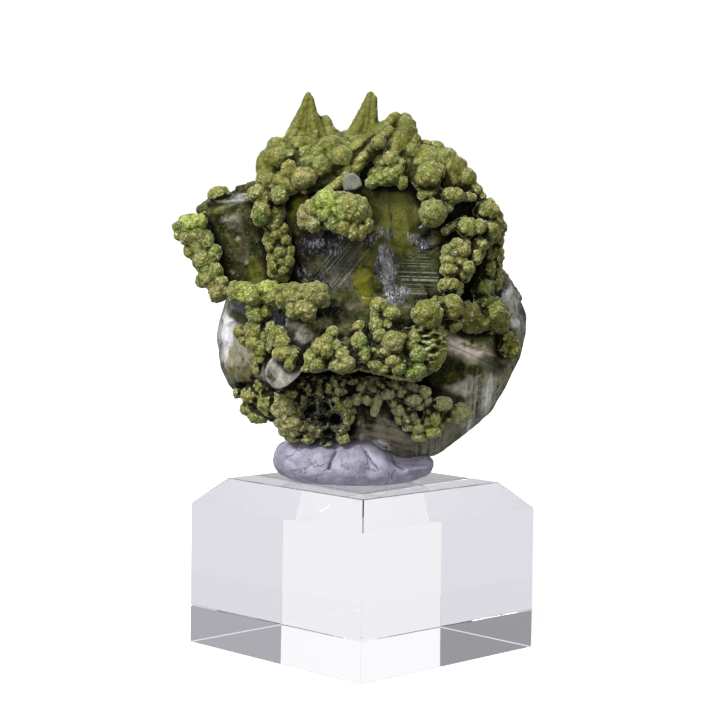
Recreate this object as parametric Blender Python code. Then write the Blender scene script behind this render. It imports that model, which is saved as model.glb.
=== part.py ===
# Mottramite and calcite specimen, fixed with putty on a bevelled clear block.
# Metres, +Z up. The origin is the middle of the block's underside, and the show face looks to -Y.
# The lists below are in millimetres, and MM turns them into metres.

import math

import bmesh
import bpy
from mathutils import Matrix, Vector
from mathutils.bvhtree import BVHTree

MM = 0.001

# Block: a square clear block standing on one face, turned so that a corner points to the front
BLOCK_SIDE = 38.1
BLOCK_HEIGHT = 26.1
BLOCK_CHAMFER = 4.0
BLOCK_TURN = math.radians(45)

# Clearance between pieces that touch
GAP = 0.3

# Widths and heights of the specimen are those seen from EYE in the upright plane READ_Y.
# place() slides each point along its line of sight to its real depth.
EYE = Vector((-0.8, -311.4, 69.0))
READ_Y = -6.0

# Putty: an oval roll squashed flat, with folds where it was pressed together
PUTTY_MIDDLE = (-1.7, -1.0, 29.3)
PUTTY_HALF = (12.6, 9.6, 3.6)
PUTTY_SAG_RIGHT = 0.06
PUTTY_FOLDS = ((-4.6, -0.35), (1.5, 0.5), (6.0, 0.9))
FOLD_DEPTH = 0.9
FOLD_WIDTH = 0.9

# Calcite: outlines (x, z) around a middle, and rings (y, share of the outline)
LENS_MIDDLE = (0.8, 48.0)
LENS_OUTLINE = (
    (14.0, 65.5), (20.4, 60.2), (23.0, 56.8), (24.2, 53.2), (24.4, 50.0), (23.7, 46.4), (21.6, 41.6),
    (19.6, 38.0), (15.6, 34.2), (11.6, 30.8), (7.0, 29.5), (0.0, 30.0), (-7.0, 31.2), (-11.6, 34.0),
    (-17.6, 38.6), (-20.8, 41.2), (-22.1, 44.0), (-22.8, 48.4), (-22.4, 50.8), (-20.6, 57.0), (-13.0, 64.0), (0.0, 68.0))
LENS_RINGS = ((-8.0, 0.50), (-5.4, 0.80), (-1.0, 0.95), (3.0, 1.0), (7.5, 0.94), (11.5, 0.74), (13.5, 0.45))

WING_MIDDLE = (-15.0, 60.0)
WING_OUTLINE = (
    (-26.0, 68.2), (-24.6, 69.7), (-20.4, 71.2), (-17.4, 72.2), (-9.0, 71.0), (-7.0, 60.0), (-8.0, 49.0),
    (-15.6, 49.6), (-21.0, 54.0), (-24.2, 60.0), (-25.4, 66.0))
WING_RINGS = ((-7.0, 0.84), (-4.0, 0.96), (0.0, 1.0), (5.0, 0.9), (7.5, 0.7))

CORE_MIDDLE = (1.0, 63.0)
CORE_OUTLINE = (
    (-16.8, 72.4), (-15.6, 75.6), (-12.0, 77.2), (-3.0, 78.2), (6.0, 77.6), (12.4, 75.4), (15.8, 73.0),
    (16.4, 70.8), (19.4, 64.0), (19.6, 58.0), (14.0, 51.0), (3.0, 47.0), (-9.0, 48.0), (-15.0, 58.0))
CORE_RINGS = ((-8.6, 0.80), (-5.5, 0.93), (0.0, 1.0), (6.0, 0.93), (10.0, 0.70))

# The front of the calcite leans forward to the ledge: corners (x, y, z)
FOOT_CORNERS = (
    (-10.0, -8.4, 58.5), (-2.0, -9.4, 59.5), (8.5, -8.6, 58.0), (-12.6, -12.4, 50.8), (-12.2, -14.0, 46.6),
    (-3.0, -14.6, 46.0), (8.0, -14.0, 46.4), (11.5, -12.4, 50.6), (-12.0, -8.0, 43.0), (10.0, -8.0, 43.0),
    (-10.0, 0.0, 42.0), (10.0, 0.0, 42.0), (-10.0, 0.0, 57.0), (10.0, 0.0, 57.0))

# A rounded chip of calcite below the left end of the ledge: rim (x, z), front and back
CHIP_MIDDLE = (-12.2, 44.2)
CHIP_RIM = (
    (-9.2, 46.6), (-9.4, 44.4), (-10.3, 42.8), (-12.0, 41.5), (-13.8, 40.7), (-14.9, 41.7),
    (-15.4, 43.3), (-14.9, 44.9), (-13.2, 46.8), (-11.2, 47.6))
CHIP_RINGS = ((-15.2, 0.93), (-14.8, 1.0), (-11.6, 0.97), (-7.0, 0.85))

# A small clear calcite crystal between the crown and the knob
GEM_MIDDLE = (-2.4, 72.6)
GEM_OUTLINE = ((-3.4, 73.7), (-2.2, 74.0), (-1.2, 73.2), (-0.8, 72.0), (-2.0, 71.3), (-3.6, 71.2), (-3.9, 72.4))
GEM_RINGS = ((-13.6, 0.45), (-12.9, 1.0), (-11.0, 0.9))

# Mottramite. A lump is x, y, z, half width, half height and, where it isn't their mean, half depth.
# A finger is its start, its start radius, its end and its end radius.
CROWN_BODY = (
    (-13.0, -3.5, 76.6, 2.6, 2.4, 4.2), (-9.4, -3.0, 78.6, 3.0, 2.2, 3.8), (-6.2, -3.0, 78.4, 2.6, 2.2, 3.6),
    (-2.4, -2.5, 78.4, 2.8, 2.0, 3.6), (1.4, -3.0, 79.2, 2.8, 2.4, 3.6), (5.0, -3.0, 78.4, 2.8, 2.8, 3.8),
    (9.0, -3.2, 77.0, 2.6, 1.9, 3.4), (12.0, -3.0, 75.4, 2.0, 1.9, 3.0), (-15.0, -7.6, 72.6, 2.0, 2.0, 2.6),
    (-12.0, -9.4, 72.4, 2.4, 1.9, 2.2), (-8.0, -9.4, 74.6, 2.8, 2.2, 2.2), (-4.6, -9.0, 76.2, 2.2, 2.0, 2.4),
    (-1.2, -9.0, 76.0, 2.6, 1.9, 2.2), (2.6, -9.2, 75.4, 2.6, 2.2, 2.2), (5.6, -9.2, 74.6, 2.2, 2.4, 2.2),
    (8.8, -8.8, 73.4, 2.2, 2.2, 2.2), (9.6, -9.2, 70.9, 2.0, 1.4, 2.0), (11.8, -8.8, 70.4, 2.0, 1.2, 2.0),
    (10.4, -6.4, 75.6, 1.8, 1.8, 2.6), (-15.2, -8.6, 69.8, 1.5, 1.6, 2.2), (-13.4, -7.6, 75.4, 2.9, 3.0, 2.4),
    (-9.6, -8.0, 76.4, 3.2, 2.8, 2.4), (-5.4, -8.0, 76.8, 3.2, 2.6, 2.4), (-0.6, -7.6, 77.2, 3.4, 2.6, 2.4),
    (4.4, -8.0, 76.0, 3.0, 3.4, 2.4), (8.4, -7.6, 75.2, 2.8, 3.0, 2.4), (11.8, -6.0, 74.6, 2.2, 2.2, 2.6),
    (-3.4, -8.8, 74.2, 2.2, 1.6, 1.8), (2.6, -9.0, 73.6, 2.6, 1.6, 2.0), (-14.6, -8.2, 67.6, 2.2, 2.6, 2.0),
    (-13.6, -7.8, 63.6, 1.8, 2.6, 1.8), (-13.0, -7.8, 59.6, 1.7, 2.4, 1.6))
CROWN_LUMPS = (
    (-14.0, -7.6, 76.4, 1.9, 1.9), (-13.4, -5.6, 78.2, 1.5, 1.2), (-12.4, -8.6, 76.5, 0.8, 0.8),
    (-15.2, -7.0, 74.2, 1.5, 1.6), (-12.0, -11.2, 74.3, 1.2, 1.4), (-9.6, -11.8, 73.1, 2.0, 1.6),
    (-9.8, -8.2, 78.2, 1.2, 1.1), (-10.8, -8.8, 76.9, 1.1, 1.0), (-6.2, -8.6, 78.2, 1.6, 1.3),
    (-7.9, -8.8, 77.5, 0.9, 1.0), (-5.2, -7.6, 78.4, 1.1, 1.0), (-7.3, -11.2, 75.1, 1.8, 1.7),
    (-8.5, -10.6, 75.0, 1.0, 1.1), (-6.3, -10.6, 76.2, 1.2, 1.0), (-13.4, -10.6, 70.4, 1.4, 1.4),
    (-16.8, -9.4, 70.6, 1.6, 1.4), (-16.1, -10.2, 67.6, 1.5, 2.0), (-14.2, -9.2, 66.0, 1.2, 1.2),
    (-13.4, -9.4, 64.2, 1.5, 1.4), (-12.6, -9.6, 62.2, 1.4, 1.4), (-13.2, -9.4, 60.4, 1.4, 1.4),
    (0.8, -10.6, 72.6, 1.2, 1.1), (2.1, -11.0, 73.0, 1.2, 1.2), (3.3, -11.2, 73.6, 1.4, 1.2),
    (4.5, -10.8, 74.3, 1.1, 1.0), (5.2, -10.8, 72.6, 1.0, 1.2), (3.4, -9.8, 75.9, 1.4, 1.5),
    (4.9, -9.8, 75.4, 0.9, 1.0), (6.6, -8.4, 77.4, 1.1, 1.4), (1.5, -9.6, 78.6, 1.2, 1.1),
    (9.1, -10.8, 73.8, 2.0, 1.9), (8.6, -9.4, 75.6, 1.7, 0.9), (10.7, -9.6, 74.5, 1.1, 1.2),
    (11.2, -6.6, 77.0, 1.6, 1.3), (12.3, -6.4, 76.0, 1.3, 1.3), (8.6, -5.4, 78.3, 1.0, 0.8),
    (10.3, -5.2, 78.2, 1.3, 0.9), (13.1, -5.6, 75.2, 1.0, 1.2), (9.9, -12.0, 68.1, 2.1, 2.2),
    (11.8, -10.6, 69.0, 1.4, 1.2), (13.0, -10.8, 70.7, 1.9, 1.3), (15.4, -8.8, 70.6, 1.2, 0.8),
    (-4.4, 0.6, 78.8, 1.6, 1.3), (0.6, 1.6, 79.2, 1.8, 1.4), (6.4, 0.8, 78.8, 1.7, 1.4), (-9.0, 1.0, 78.4, 1.8, 1.4))
CROWN_FINGERS = (
    ((-10.7, -4.4, 79.0), 2.1, (-9.2, -4.4, 85.4), 0.5), ((-8.5, -5.6, 79.0), 1.3, (-9.0, -4.8, 84.6), 0.5),
    ((-6.8, -4.2, 79.0), 1.6, (-6.5, -4.0, 81.9), 0.8), ((-7.6, -3.6, 80.0), 1.0, (-7.6, -3.6, 82.2), 0.6),
    ((-1.6, -2.8, 78.6), 2.2, (0.2, -2.8, 85.3), 0.7), ((0.7, -4.2, 79.0), 0.9, (0.6, -3.4, 84.8), 0.7),
    ((-2.6, -7.8, 77.8), 0.9, (0.9, -6.4, 80.7), 0.8), ((0.9, -6.4, 80.7), 0.8, (2.3, -5.6, 81.8), 0.7),
    ((0.4, -8.4, 78.0), 1.0, (2.9, -6.4, 80.8), 1.0), ((-1.4, -9.6, 75.8), 0.9, (1.4, -9.2, 77.4), 1.1),
    ((4.8, -6.6, 78.4), 1.4, (5.5, -4.8, 82.5), 1.1), ((6.4, -5.2, 79.0), 1.2, (6.3, -4.2, 81.4), 1.0),
    ((2.6, -4.2, 80.4), 1.4, (3.7, -3.8, 82.8), 0.9), ((3.2, -9.4, 76.2), 1.2, (4.8, -6.8, 78.6), 1.3),
    ((6.2, -8.6, 75.2), 0.8, (6.4, -7.2, 78.4), 1.1))

ARM_BODY = (
    (-26.6, -6.8, 65.6, 2.0, 1.7), (-25.4, -7.0, 63.2, 1.9, 1.8), (-24.8, -7.4, 60.4, 1.7, 1.9),
    (-24.0, -8.0, 57.8, 1.7, 1.8), (-22.4, -8.6, 55.6, 1.7, 1.6), (-19.6, -9.6, 55.4, 1.9, 1.4),
    (-16.8, -10.8, 55.2, 2.0, 1.6), (-13.8, -12.0, 55.0, 1.9, 1.5), (-10.6, -13.6, 54.6, 2.2, 1.8),
    (-16.6, -10.0, 52.4, 1.5, 1.8), (-16.8, -9.6, 49.6, 1.7, 1.9), (-15.6, -10.0, 47.0, 1.8, 1.8),
    (-13.4, -12.2, 48.4, 1.4, 1.9), (-24.0, -4.6, 66.6, 1.6, 1.6))
ARM_LUMPS = (
    (-28.9, -7.0, 65.3, 0.9, 0.8), (-27.6, -8.0, 66.1, 1.4, 1.1), (-25.8, -8.0, 66.2, 1.6, 1.3),
    (-28.5, -7.4, 64.1, 1.0, 0.9), (-27.4, -8.4, 63.6, 1.2, 1.1), (-26.0, -8.6, 64.2, 1.3, 1.2),
    (-26.9, -7.8, 61.7, 1.2, 1.1), (-25.8, -8.8, 62.4, 1.2, 1.1), (-24.6, -8.8, 63.0, 1.2, 1.2),
    (-25.2, -8.2, 60.0, 1.3, 1.1), (-23.2, -9.0, 61.4, 1.1, 1.3), (-25.0, -8.6, 57.2, 1.1, 1.1),
    (-24.3, -9.2, 58.6, 1.1, 1.1), (-23.0, -9.6, 58.8, 1.1, 1.2), (-23.4, -9.4, 56.9, 1.2, 1.1),
    (-22.2, -10.0, 57.0, 1.1, 1.0), (-22.9, -9.2, 54.8, 1.1, 1.1), (-21.4, -10.0, 55.6, 1.2, 1.1),
    (-20.1, -10.6, 56.4, 0.9, 0.8), (-18.6, -11.4, 56.2, 1.4, 1.0), (-18.9, -11.6, 54.8, 1.3, 0.9),
    (-17.4, -11.8, 54.6, 1.1, 0.9), (-15.0, -12.8, 56.2, 1.6, 1.3), (-14.0, -13.2, 54.9, 1.0, 1.0),
    (-17.4, -11.4, 53.5, 0.9, 0.9), (-16.6, -11.4, 52.2, 0.9, 0.9), (-15.2, -12.0, 52.8, 0.8, 1.2),
    (-12.6, -14.4, 54.5, 1.2, 1.3), (-11.6, -15.0, 55.2, 1.3, 1.2), (-12.5, -13.8, 56.1, 1.0, 0.9),
    (-10.9, -14.6, 56.4, 1.1, 0.8), (-7.7, -15.6, 55.4, 2.1, 1.9), (-9.3, -15.2, 56.2, 1.1, 0.9),
    (-6.6, -15.4, 54.1, 1.0, 0.9), (-9.3, -16.2, 53.0, 1.9, 1.6), (-11.1, -15.6, 52.9, 1.2, 1.5),
    (-19.2, -10.0, 49.4, 1.2, 1.0), (-18.5, -10.2, 48.2, 1.1, 1.0), (-17.1, -11.4, 47.7, 1.3, 1.2),
    (-17.0, -11.0, 50.2, 1.0, 1.2), (-15.2, -11.6, 48.9, 1.0, 1.0), (-14.5, -12.6, 50.0, 0.7, 1.2),
    (-14.2, -12.8, 47.2, 0.9, 1.0), (-15.8, -11.4, 45.6, 1.2, 0.8), (-16.5, -10.4, 43.6, 0.7, 0.9),
    (-13.0, -13.8, 49.4, 0.9, 1.0), (-12.7, -14.6, 47.8, 1.3, 1.4), (-12.6, -15.6, 46.2, 1.6, 1.2),
    (-11.1, -15.8, 46.0, 1.1, 1.0), (-11.5, -16.2, 44.6, 0.9, 1.1))
ARM_FINGERS = (((-16.2, -10.0, 46.6), 1.2, (-16.5, -10.2, 43.8), 0.7),)

PERCH_BODY = ((-22.6, -3.4, 70.2, 1.7, 1.6, 1.8), (-21.8, -3.8, 70.4, 1.0, 1.0))

KNOB_BODY = ((-4.4, -12.4, 67.6, 3.6, 2.4, 3.6), (-7.6, -12.8, 67.6, 2.0, 1.8, 2.4))
KNOB_LUMPS = (
    (-9.5, -14.2, 67.2, 1.2, 1.8), (-8.0, -15.4, 66.2, 1.4, 1.4), (-8.4, -14.6, 68.8, 1.4, 1.3),
    (-6.4, -15.4, 70.0, 1.5, 1.5), (-6.0, -15.8, 68.3, 1.4, 1.3), (-3.1, -16.0, 68.8, 2.7, 2.2),
    (-4.7, -16.2, 66.2, 1.1, 1.2), (-3.1, -16.4, 65.4, 1.3, 1.3), (-1.6, -16.2, 64.9, 1.1, 1.2),
    (-0.5, -15.4, 65.6, 1.0, 1.2), (-0.4, -15.4, 67.6, 1.3, 1.4), (-4.6, -14.6, 70.4, 1.4, 1.0))

BANK_BODY = (
    (18.0, -4.6, 68.0, 2.2, 2.0), (16.8, -6.6, 65.4, 2.3, 2.0), (15.8, -8.4, 62.4, 2.2, 2.0),
    (14.4, -9.8, 59.4, 2.0, 2.0), (13.0, -11.4, 56.6, 1.8, 2.0), (11.8, -13.2, 53.6, 2.2, 2.0),
    (19.6, -2.6, 64.4, 1.4, 1.8), (19.6, -2.6, 60.8, 1.3, 1.9), (19.2, -4.0, 57.4, 1.6, 1.9),
    (18.2, -6.0, 54.2, 2.2, 2.0), (15.4, -8.8, 52.8, 2.2, 1.8), (17.6, -6.4, 61.6, 2.0, 2.4, 2.0),
    (17.4, -7.0, 57.4, 2.2, 3.0, 1.8), (16.4, -7.4, 64.0, 2.6, 2.6, 2.4), (18.4, -5.4, 66.0, 2.4, 3.0, 2.6),
    (19.6, -4.6, 52.4, 2.4, 3.0, 2.2), (16.6, -7.8, 51.4, 2.6, 1.6, 1.8), (21.8, -3.4, 48.2, 1.9, 1.9, 1.6),
    (19.4, -3.4, 60.0, 1.4, 5.0, 1.6), (13.6, -10.6, 60.8, 2.2, 3.0, 2.0))
BANK_LUMPS = (
    (18.2, -6.6, 68.5, 2.1, 1.9), (19.7, -5.6, 67.6, 1.2, 1.2), (15.2, -10.0, 65.8, 1.6, 1.7),
    (18.6, -8.2, 65.4, 1.5, 1.4), (17.3, -9.8, 63.4, 1.3, 1.1), (12.4, -11.2, 62.4, 1.0, 0.9),
    (13.9, -11.4, 63.3, 1.2, 1.1), (15.0, -10.6, 63.5, 0.9, 0.9), (13.7, -11.6, 61.9, 1.2, 0.9),
    (16.6, -10.8, 61.4, 1.1, 1.2), (15.4, -12.0, 59.9, 1.1, 1.1), (12.6, -12.0, 60.8, 1.2, 0.8),
    (12.6, -12.6, 59.3, 1.5, 1.1), (14.4, -12.0, 58.7, 0.8, 0.8), (12.5, -13.4, 57.2, 1.6, 1.1),
    (19.0, -6.8, 59.6, 0.8, 1.1), (20.5, -3.4, 66.0, 0.8, 1.0), (20.1, -3.8, 64.0, 0.8, 1.1),
    (20.3, -3.0, 61.2, 0.8, 0.9), (9.5, -16.2, 52.6, 2.4, 2.3), (13.1, -14.6, 53.9, 1.7, 1.9),
    (19.4, -6.8, 52.8, 2.1, 2.2), (13.4, -13.0, 50.9, 1.4, 1.0), (21.4, -4.2, 49.4, 1.2, 1.1),
    (20.6, -4.8, 50.8, 1.3, 1.2), (22.6, -3.6, 47.6, 1.3, 1.6), (17.0, -8.4, 51.2, 1.3, 1.0),
    (18.2, -6.8, 56.8, 1.5, 1.4), (17.0, -10.2, 65.9, 1.0, 1.2), (14.6, -11.6, 62.4, 1.3, 1.2))
BANK_FINGERS = (((14.8, -8.8, 67.2), 0.6, (12.0, -10.6, 65.4), 0.8),)

LEDGE_BODY = (
    (9.6, -14.6, 50.6, 2.1, 2.2), (9.0, -15.0, 47.6, 2.0, 2.0), (7.6, -15.6, 44.9, 1.8, 1.8),
    (4.6, -15.8, 46.0, 2.2, 1.9), (2.0, -15.8, 46.6, 1.9, 1.9), (2.6, -14.6, 50.4, 1.6, 2.4),
    (-0.6, -15.8, 46.2, 1.9, 1.8), (-3.4, -15.8, 45.6, 1.9, 1.6), (-6.6, -15.6, 45.8, 1.9, 1.7),
    (-2.6, -15.0, 47.0, 3.2, 1.8, 1.8), (3.0, -15.2, 48.6, 2.6, 2.2, 1.8), (6.8, -15.0, 47.6, 2.6, 3.0, 2.0),
    (-6.2, -15.4, 47.2, 2.0, 1.8, 1.8), (4.6, -16.0, 45.0, 3.6, 1.6, 2.2))
LEDGE_LUMPS = (
    (-5.8, -16.6, 48.2, 1.1, 1.2), (-6.9, -17.0, 47.2, 1.3, 1.4), (-6.0, -17.6, 46.7, 1.1, 1.2),
    (-8.2, -16.8, 45.7, 1.2, 1.3), (-7.3, -17.4, 44.7, 1.1, 1.1), (-8.5, -16.8, 44.5, 0.8, 0.8),
    (-3.4, -17.4, 46.2, 1.3, 1.1), (-2.6, -18.0, 45.0, 1.2, 1.1), (-4.5, -17.8, 44.6, 1.0, 0.9),
    (-3.4, -18.2, 44.3, 1.4, 0.8), (-1.0, -15.8, 50.5, 1.1, 0.9), (-0.9, -16.8, 48.1, 1.2, 1.6),
    (0.0, -17.4, 46.2, 0.9, 1.3), (1.9, -15.8, 53.9, 1.4, 1.3), (3.9, -16.0, 52.7, 1.4, 1.2),
    (1.5, -16.0, 52.4, 0.8, 0.9), (1.6, -16.4, 50.8, 1.1, 1.3), (3.2, -16.2, 50.9, 0.9, 0.9),
    (4.2, -17.4, 48.2, 1.8, 1.7), (3.3, -17.6, 47.0, 1.0, 1.0), (5.3, -17.4, 49.0, 1.0, 0.9),
    (6.8, -16.6, 47.9, 1.1, 1.2), (4.3, -17.8, 45.3, 1.3, 1.0), (5.2, -17.8, 44.3, 1.2, 1.0),
    (1.6, -17.8, 44.6, 1.2, 0.8), (2.8, -17.8, 44.1, 1.0, 0.7), (9.5, -16.6, 49.3, 2.1, 1.0),
    (10.8, -15.8, 49.6, 1.0, 0.9), (9.6, -16.6, 47.8, 1.6, 0.9), (10.6, -16.0, 46.4, 1.3, 0.8),
    (8.0, -17.4, 46.4, 1.2, 1.4), (8.3, -17.6, 44.0, 1.3, 1.2), (7.2, -17.6, 43.6, 1.0, 0.9))

LOWER_BODY = (
    (-11.4, -6.2, 38.4, 2.6, 3.6, 3.4), (-10.8, -6.2, 35.6, 2.4, 2.4, 3.4), (-7.0, -7.0, 41.4, 3.4, 1.9, 2.6),
    (-7.6, -6.6, 35.0, 3.2, 1.8, 3.0), (-4.6, -7.0, 34.8, 2.2, 1.7, 2.6), (-3.0, -8.0, 41.4, 3.0, 1.8, 2.0),
    (-3.1, -7.8, 37.8, 1.6, 3.4, 2.0), (-6.0, -6.8, 38.0, 3.0, 3.0, 2.6), (1.2, -8.8, 41.4, 3.0, 1.6, 1.6),
    (5.4, -8.6, 40.8, 3.0, 1.4, 1.6), (-14.6, -3.4, 38.6, 2.0, 2.0, 2.8), (-17.2, -1.8, 39.8, 1.8, 1.6, 2.2),
    (-15.2, -3.0, 41.4, 2.0, 1.8, 2.0))
LOWER_LUMPS = (
    (-12.8, -8.0, 39.6, 1.3, 1.2), (-11.0, -9.0, 40.0, 1.2, 1.1), (-13.2, -7.2, 37.6, 1.2, 1.2),
    (-11.4, -8.8, 37.9, 1.3, 1.2), (-13.0, -6.4, 35.6, 1.0, 1.0), (-11.4, -8.4, 35.8, 1.3, 1.0),
    (-12.2, -6.0, 34.2, 1.0, 0.9), (-9.4, -8.6, 34.8, 1.2, 0.9), (-9.4, -9.2, 39.2, 0.8, 1.2),
    (-8.6, -9.4, 40.8, 0.7, 1.0), (-7.0, -9.6, 40.8, 0.7, 1.0), (-5.6, -9.8, 41.0, 0.7, 0.9),
    (-4.3, -9.6, 38.8, 0.8, 1.2), (-3.5, -10.0, 40.6, 1.1, 0.6), (-2.9, -9.4, 36.8, 0.7, 1.2),
    (-2.6, -9.6, 38.8, 0.9, 0.9), (-3.6, -8.8, 34.6, 0.8, 0.8), (-6.8, -8.8, 34.4, 0.9, 0.8),
    (-1.8, -10.2, 42.0, 0.9, 0.6), (-0.4, -10.4, 41.2, 0.8, 0.6), (1.3, -10.4, 41.0, 0.8, 0.7),
    (-19.5, -1.4, 40.0, 0.8, 0.8), (-17.6, -2.4, 37.6, 1.1, 1.0), (-15.8, -3.2, 36.4, 1.1, 0.9),
    (3.7, -10.2, 40.3, 1.3, 1.0), (5.5, -10.0, 40.5, 0.9, 0.8), (7.3, -9.8, 39.4, 1.5, 1.0),
    (5.6, -9.4, 38.1, 0.9, 1.0), (6.4, -8.8, 36.6, 0.8, 1.3), (8.2, -8.0, 35.2, 1.2, 0.9),
    (12.0, -8.2, 38.8, 1.5, 1.2), (14.6, -7.2, 37.4, 1.8, 1.6), (10.9, -8.2, 36.6, 1.0, 1.2),
    (10.6, -7.6, 34.6, 1.5, 1.1), (9.4, -7.2, 34.4, 1.0, 0.9), (-4.6, -9.4, 41.8, 1.0, 1.0),
    (-1.2, -9.6, 39.6, 0.9, 1.1), (0.4, -9.8, 39.4, 0.9, 0.9), (4.2, -9.8, 41.6, 1.2, 0.9),
    (7.0, -9.4, 41.2, 1.2, 0.9), (9.0, -9.0, 40.6, 1.2, 1.0), (-9.8, -8.8, 41.8, 1.2, 1.0),
    (-7.8, -8.8, 42.2, 1.0, 0.8), (-3.2, -8.8, 33.2, 1.0, 0.8), (-5.8, -8.4, 32.6, 1.0, 0.7),
    (-8.6, -8.0, 33.2, 1.1, 0.8), (-11.0, -7.2, 33.4, 1.2, 0.9), (-16.4, -2.8, 36.6, 1.5, 1.0),
    (-18.0, -2.0, 37.6, 1.2, 1.1))
LOWER_FINGERS = (
    ((2.2, -9.8, 39.8), 0.9, (1.5, -10.0, 37.3), 0.7), ((3.4, -9.2, 40.2), 1.0, (7.4, -9.0, 39.4), 0.9),
    ((5.6, -8.6, 39.2), 0.9, (6.6, -8.0, 36.4), 0.8), ((6.6, -7.8, 36.2), 0.9, (10.4, -6.8, 34.6), 0.9),
    ((10.8, -7.0, 35.0), 0.9, (12.0, -7.4, 38.6), 1.0), ((12.0, -7.2, 38.4), 1.0, (14.6, -6.6, 37.4), 1.2),
    ((-14.0, -4.0, 38.0), 1.3, (-17.8, -1.8, 39.4), 1.2))
# Pits of the dark vug: x, y, z and radius, and their half depth in radii
PIT_DEPTH = 2.4
VUG_PITS = (
    (-8.2, -10.2, 37.4, 1.6), (-6.0, -10.0, 38.2, 1.2), (-4.5, -10.0, 36.0, 1.4), (-6.4, -10.0, 36.0, 1.2),
    (-5.4, -9.4, 33.6, 1.1))

# The back is hidden: a crust of lumps in rows that cover its upper part
BACK_ROWS = (
    (74.2, -11.0, 9.0), (71.4, -14.0, 12.5), (68.4, -16.0, 14.0), (65.4, -14.0, 15.0), (62.2, -10.0, 13.0),
    (59.2, -4.0, 10.5))
BACK_STEP = 3.3
BACK_LUMP = 2.7

# Faces that turn less than this against each other count as one flat face
FLAT_ANGLE = math.radians(0.3)

# Voxel size of the joined lumps, how far their thinned skin lies inside them, and the triangles of each piece
VOXEL = 0.45
SKIN_LOSS = 0.2
TRIANGLES = {"crown": 2150, "arm": 1350, "knob": 380, "bank": 2250, "lower": 1250, "back": 420, "perch": 60}


# Scene and materials

def clear_scene():
    for old in list(bpy.data.objects):
        bpy.data.objects.remove(old, do_unlink=True)


def material(name, colour, roughness, transmission=0.0, ior=1.5):
    made = bpy.data.materials.new(name)
    made.use_nodes = True
    shader = made.node_tree.nodes["Principled BSDF"]
    shader.inputs["Base Color"].default_value = (*colour, 1.0)
    shader.inputs["Roughness"].default_value = roughness
    shader.inputs["Metallic"].default_value = 0.0
    shader.inputs["Transmission Weight"].default_value = transmission
    shader.inputs["IOR"].default_value = ior
    return made


def add_object(name, bm, finish):
    mesh = bpy.data.meshes.new(name)
    bm.to_mesh(mesh)
    bm.free()
    mesh.materials.append(finish)
    made = bpy.data.objects.new(name, mesh)
    bpy.context.scene.collection.objects.link(made)
    return made


def hide_cutter(cutter):
    cutter.hide_render = True
    cutter.display_type = "WIRE"


# Shapes

def place(x, y, z):
    reach = (y - EYE.y) / (READ_Y - EYE.y)
    return Vector((EYE.x + (x - EYE.x) * reach, y, EYE.z + (z - EYE.z) * reach)) * MM


def add_lump(bm, row, grow=0.0):
    x, y, z, half_x, half_z = row[:5]
    half_y = row[5] if len(row) > 5 else (half_x + half_z) / 2
    grow += SKIN_LOSS
    size = Vector((half_x + grow, half_y + grow, half_z + grow)) * MM
    matrix = Matrix.Translation(place(x, y, z)) @ Matrix.Diagonal((*size, 1.0))
    bmesh.ops.create_icosphere(bm, subdivisions=2, radius=1.0, matrix=matrix)


def add_finger(bm, start, start_radius, end, end_radius, grow=0.0):
    foot = place(*start)
    tip = place(*end)
    along = tip - foot
    turn = along.to_track_quat("Z", "Y").to_matrix().to_4x4()
    bmesh.ops.create_cone(
        bm, cap_ends=True, cap_tris=False, segments=12, radius1=(start_radius + grow + SKIN_LOSS) * MM,
        radius2=(end_radius + grow + SKIN_LOSS) * MM, depth=along.length,
        matrix=Matrix.Translation((foot + tip) / 2) @ turn)
    add_lump(bm, (*start, start_radius, start_radius), grow)
    add_lump(bm, (*end, end_radius, end_radius), grow)


def hull(bm, points):
    made = [bm.verts.new(point) for point in points]
    result = bmesh.ops.convex_hull(bm, input=made)
    unused = {v for v in result["geom_interior"] + result["geom_unused"] if isinstance(v, bmesh.types.BMVert)}
    bmesh.ops.delete(bm, geom=list(unused), context="VERTS")
    bmesh.ops.recalc_face_normals(bm, faces=bm.faces)


def ringed_points(middle, outline, rings):
    points = []
    for y, share in rings:
        for x, z in outline:
            points.append(place(middle[0] + (x - middle[0]) * share, y, middle[1] + (z - middle[1]) * share))
    return points


def fatten(bm, distance):
    bm.normal_update()
    moves = [(v, v.normal * v.calc_shell_factor() * distance * MM) for v in bm.verts]
    for v, move in moves:
        v.co += move


def drop_crumbs(bm):
    """Keeps the largest connected body and deletes crumbs and inner bubbles."""
    left = set(bm.verts)
    bodies = []
    while left:
        front = [left.pop()]
        body = set(front)
        while front:
            for edge in front.pop().link_edges:
                for vert in edge.verts:
                    if vert not in body:
                        body.add(vert)
                        front.append(vert)
        left -= body
        bodies.append(body)
    bodies.sort(key=len, reverse=True)
    for body in bodies[1:]:
        bmesh.ops.delete(bm, geom=list(body), context="VERTS")


def settle(target):
    """Turns an object's modifiers into its own mesh, as one body of triangles."""
    graph = bpy.context.evaluated_depsgraph_get()
    shaped = bpy.data.meshes.new_from_object(target.evaluated_get(graph))
    bm = bmesh.new()
    bm.from_mesh(shaped)
    bmesh.ops.dissolve_limit(bm, angle_limit=FLAT_ANGLE, verts=bm.verts, edges=bm.edges)
    bmesh.ops.triangulate(bm, faces=bm.faces)
    drop_crumbs(bm)
    target.modifiers.clear()
    bm.to_mesh(target.data)
    bm.free()
    bpy.data.meshes.remove(shaped)


def boolean(target, other, operation):
    cut = target.modifiers.new(operation.title(), "BOOLEAN")
    cut.operation = operation
    cut.object = other


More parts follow.
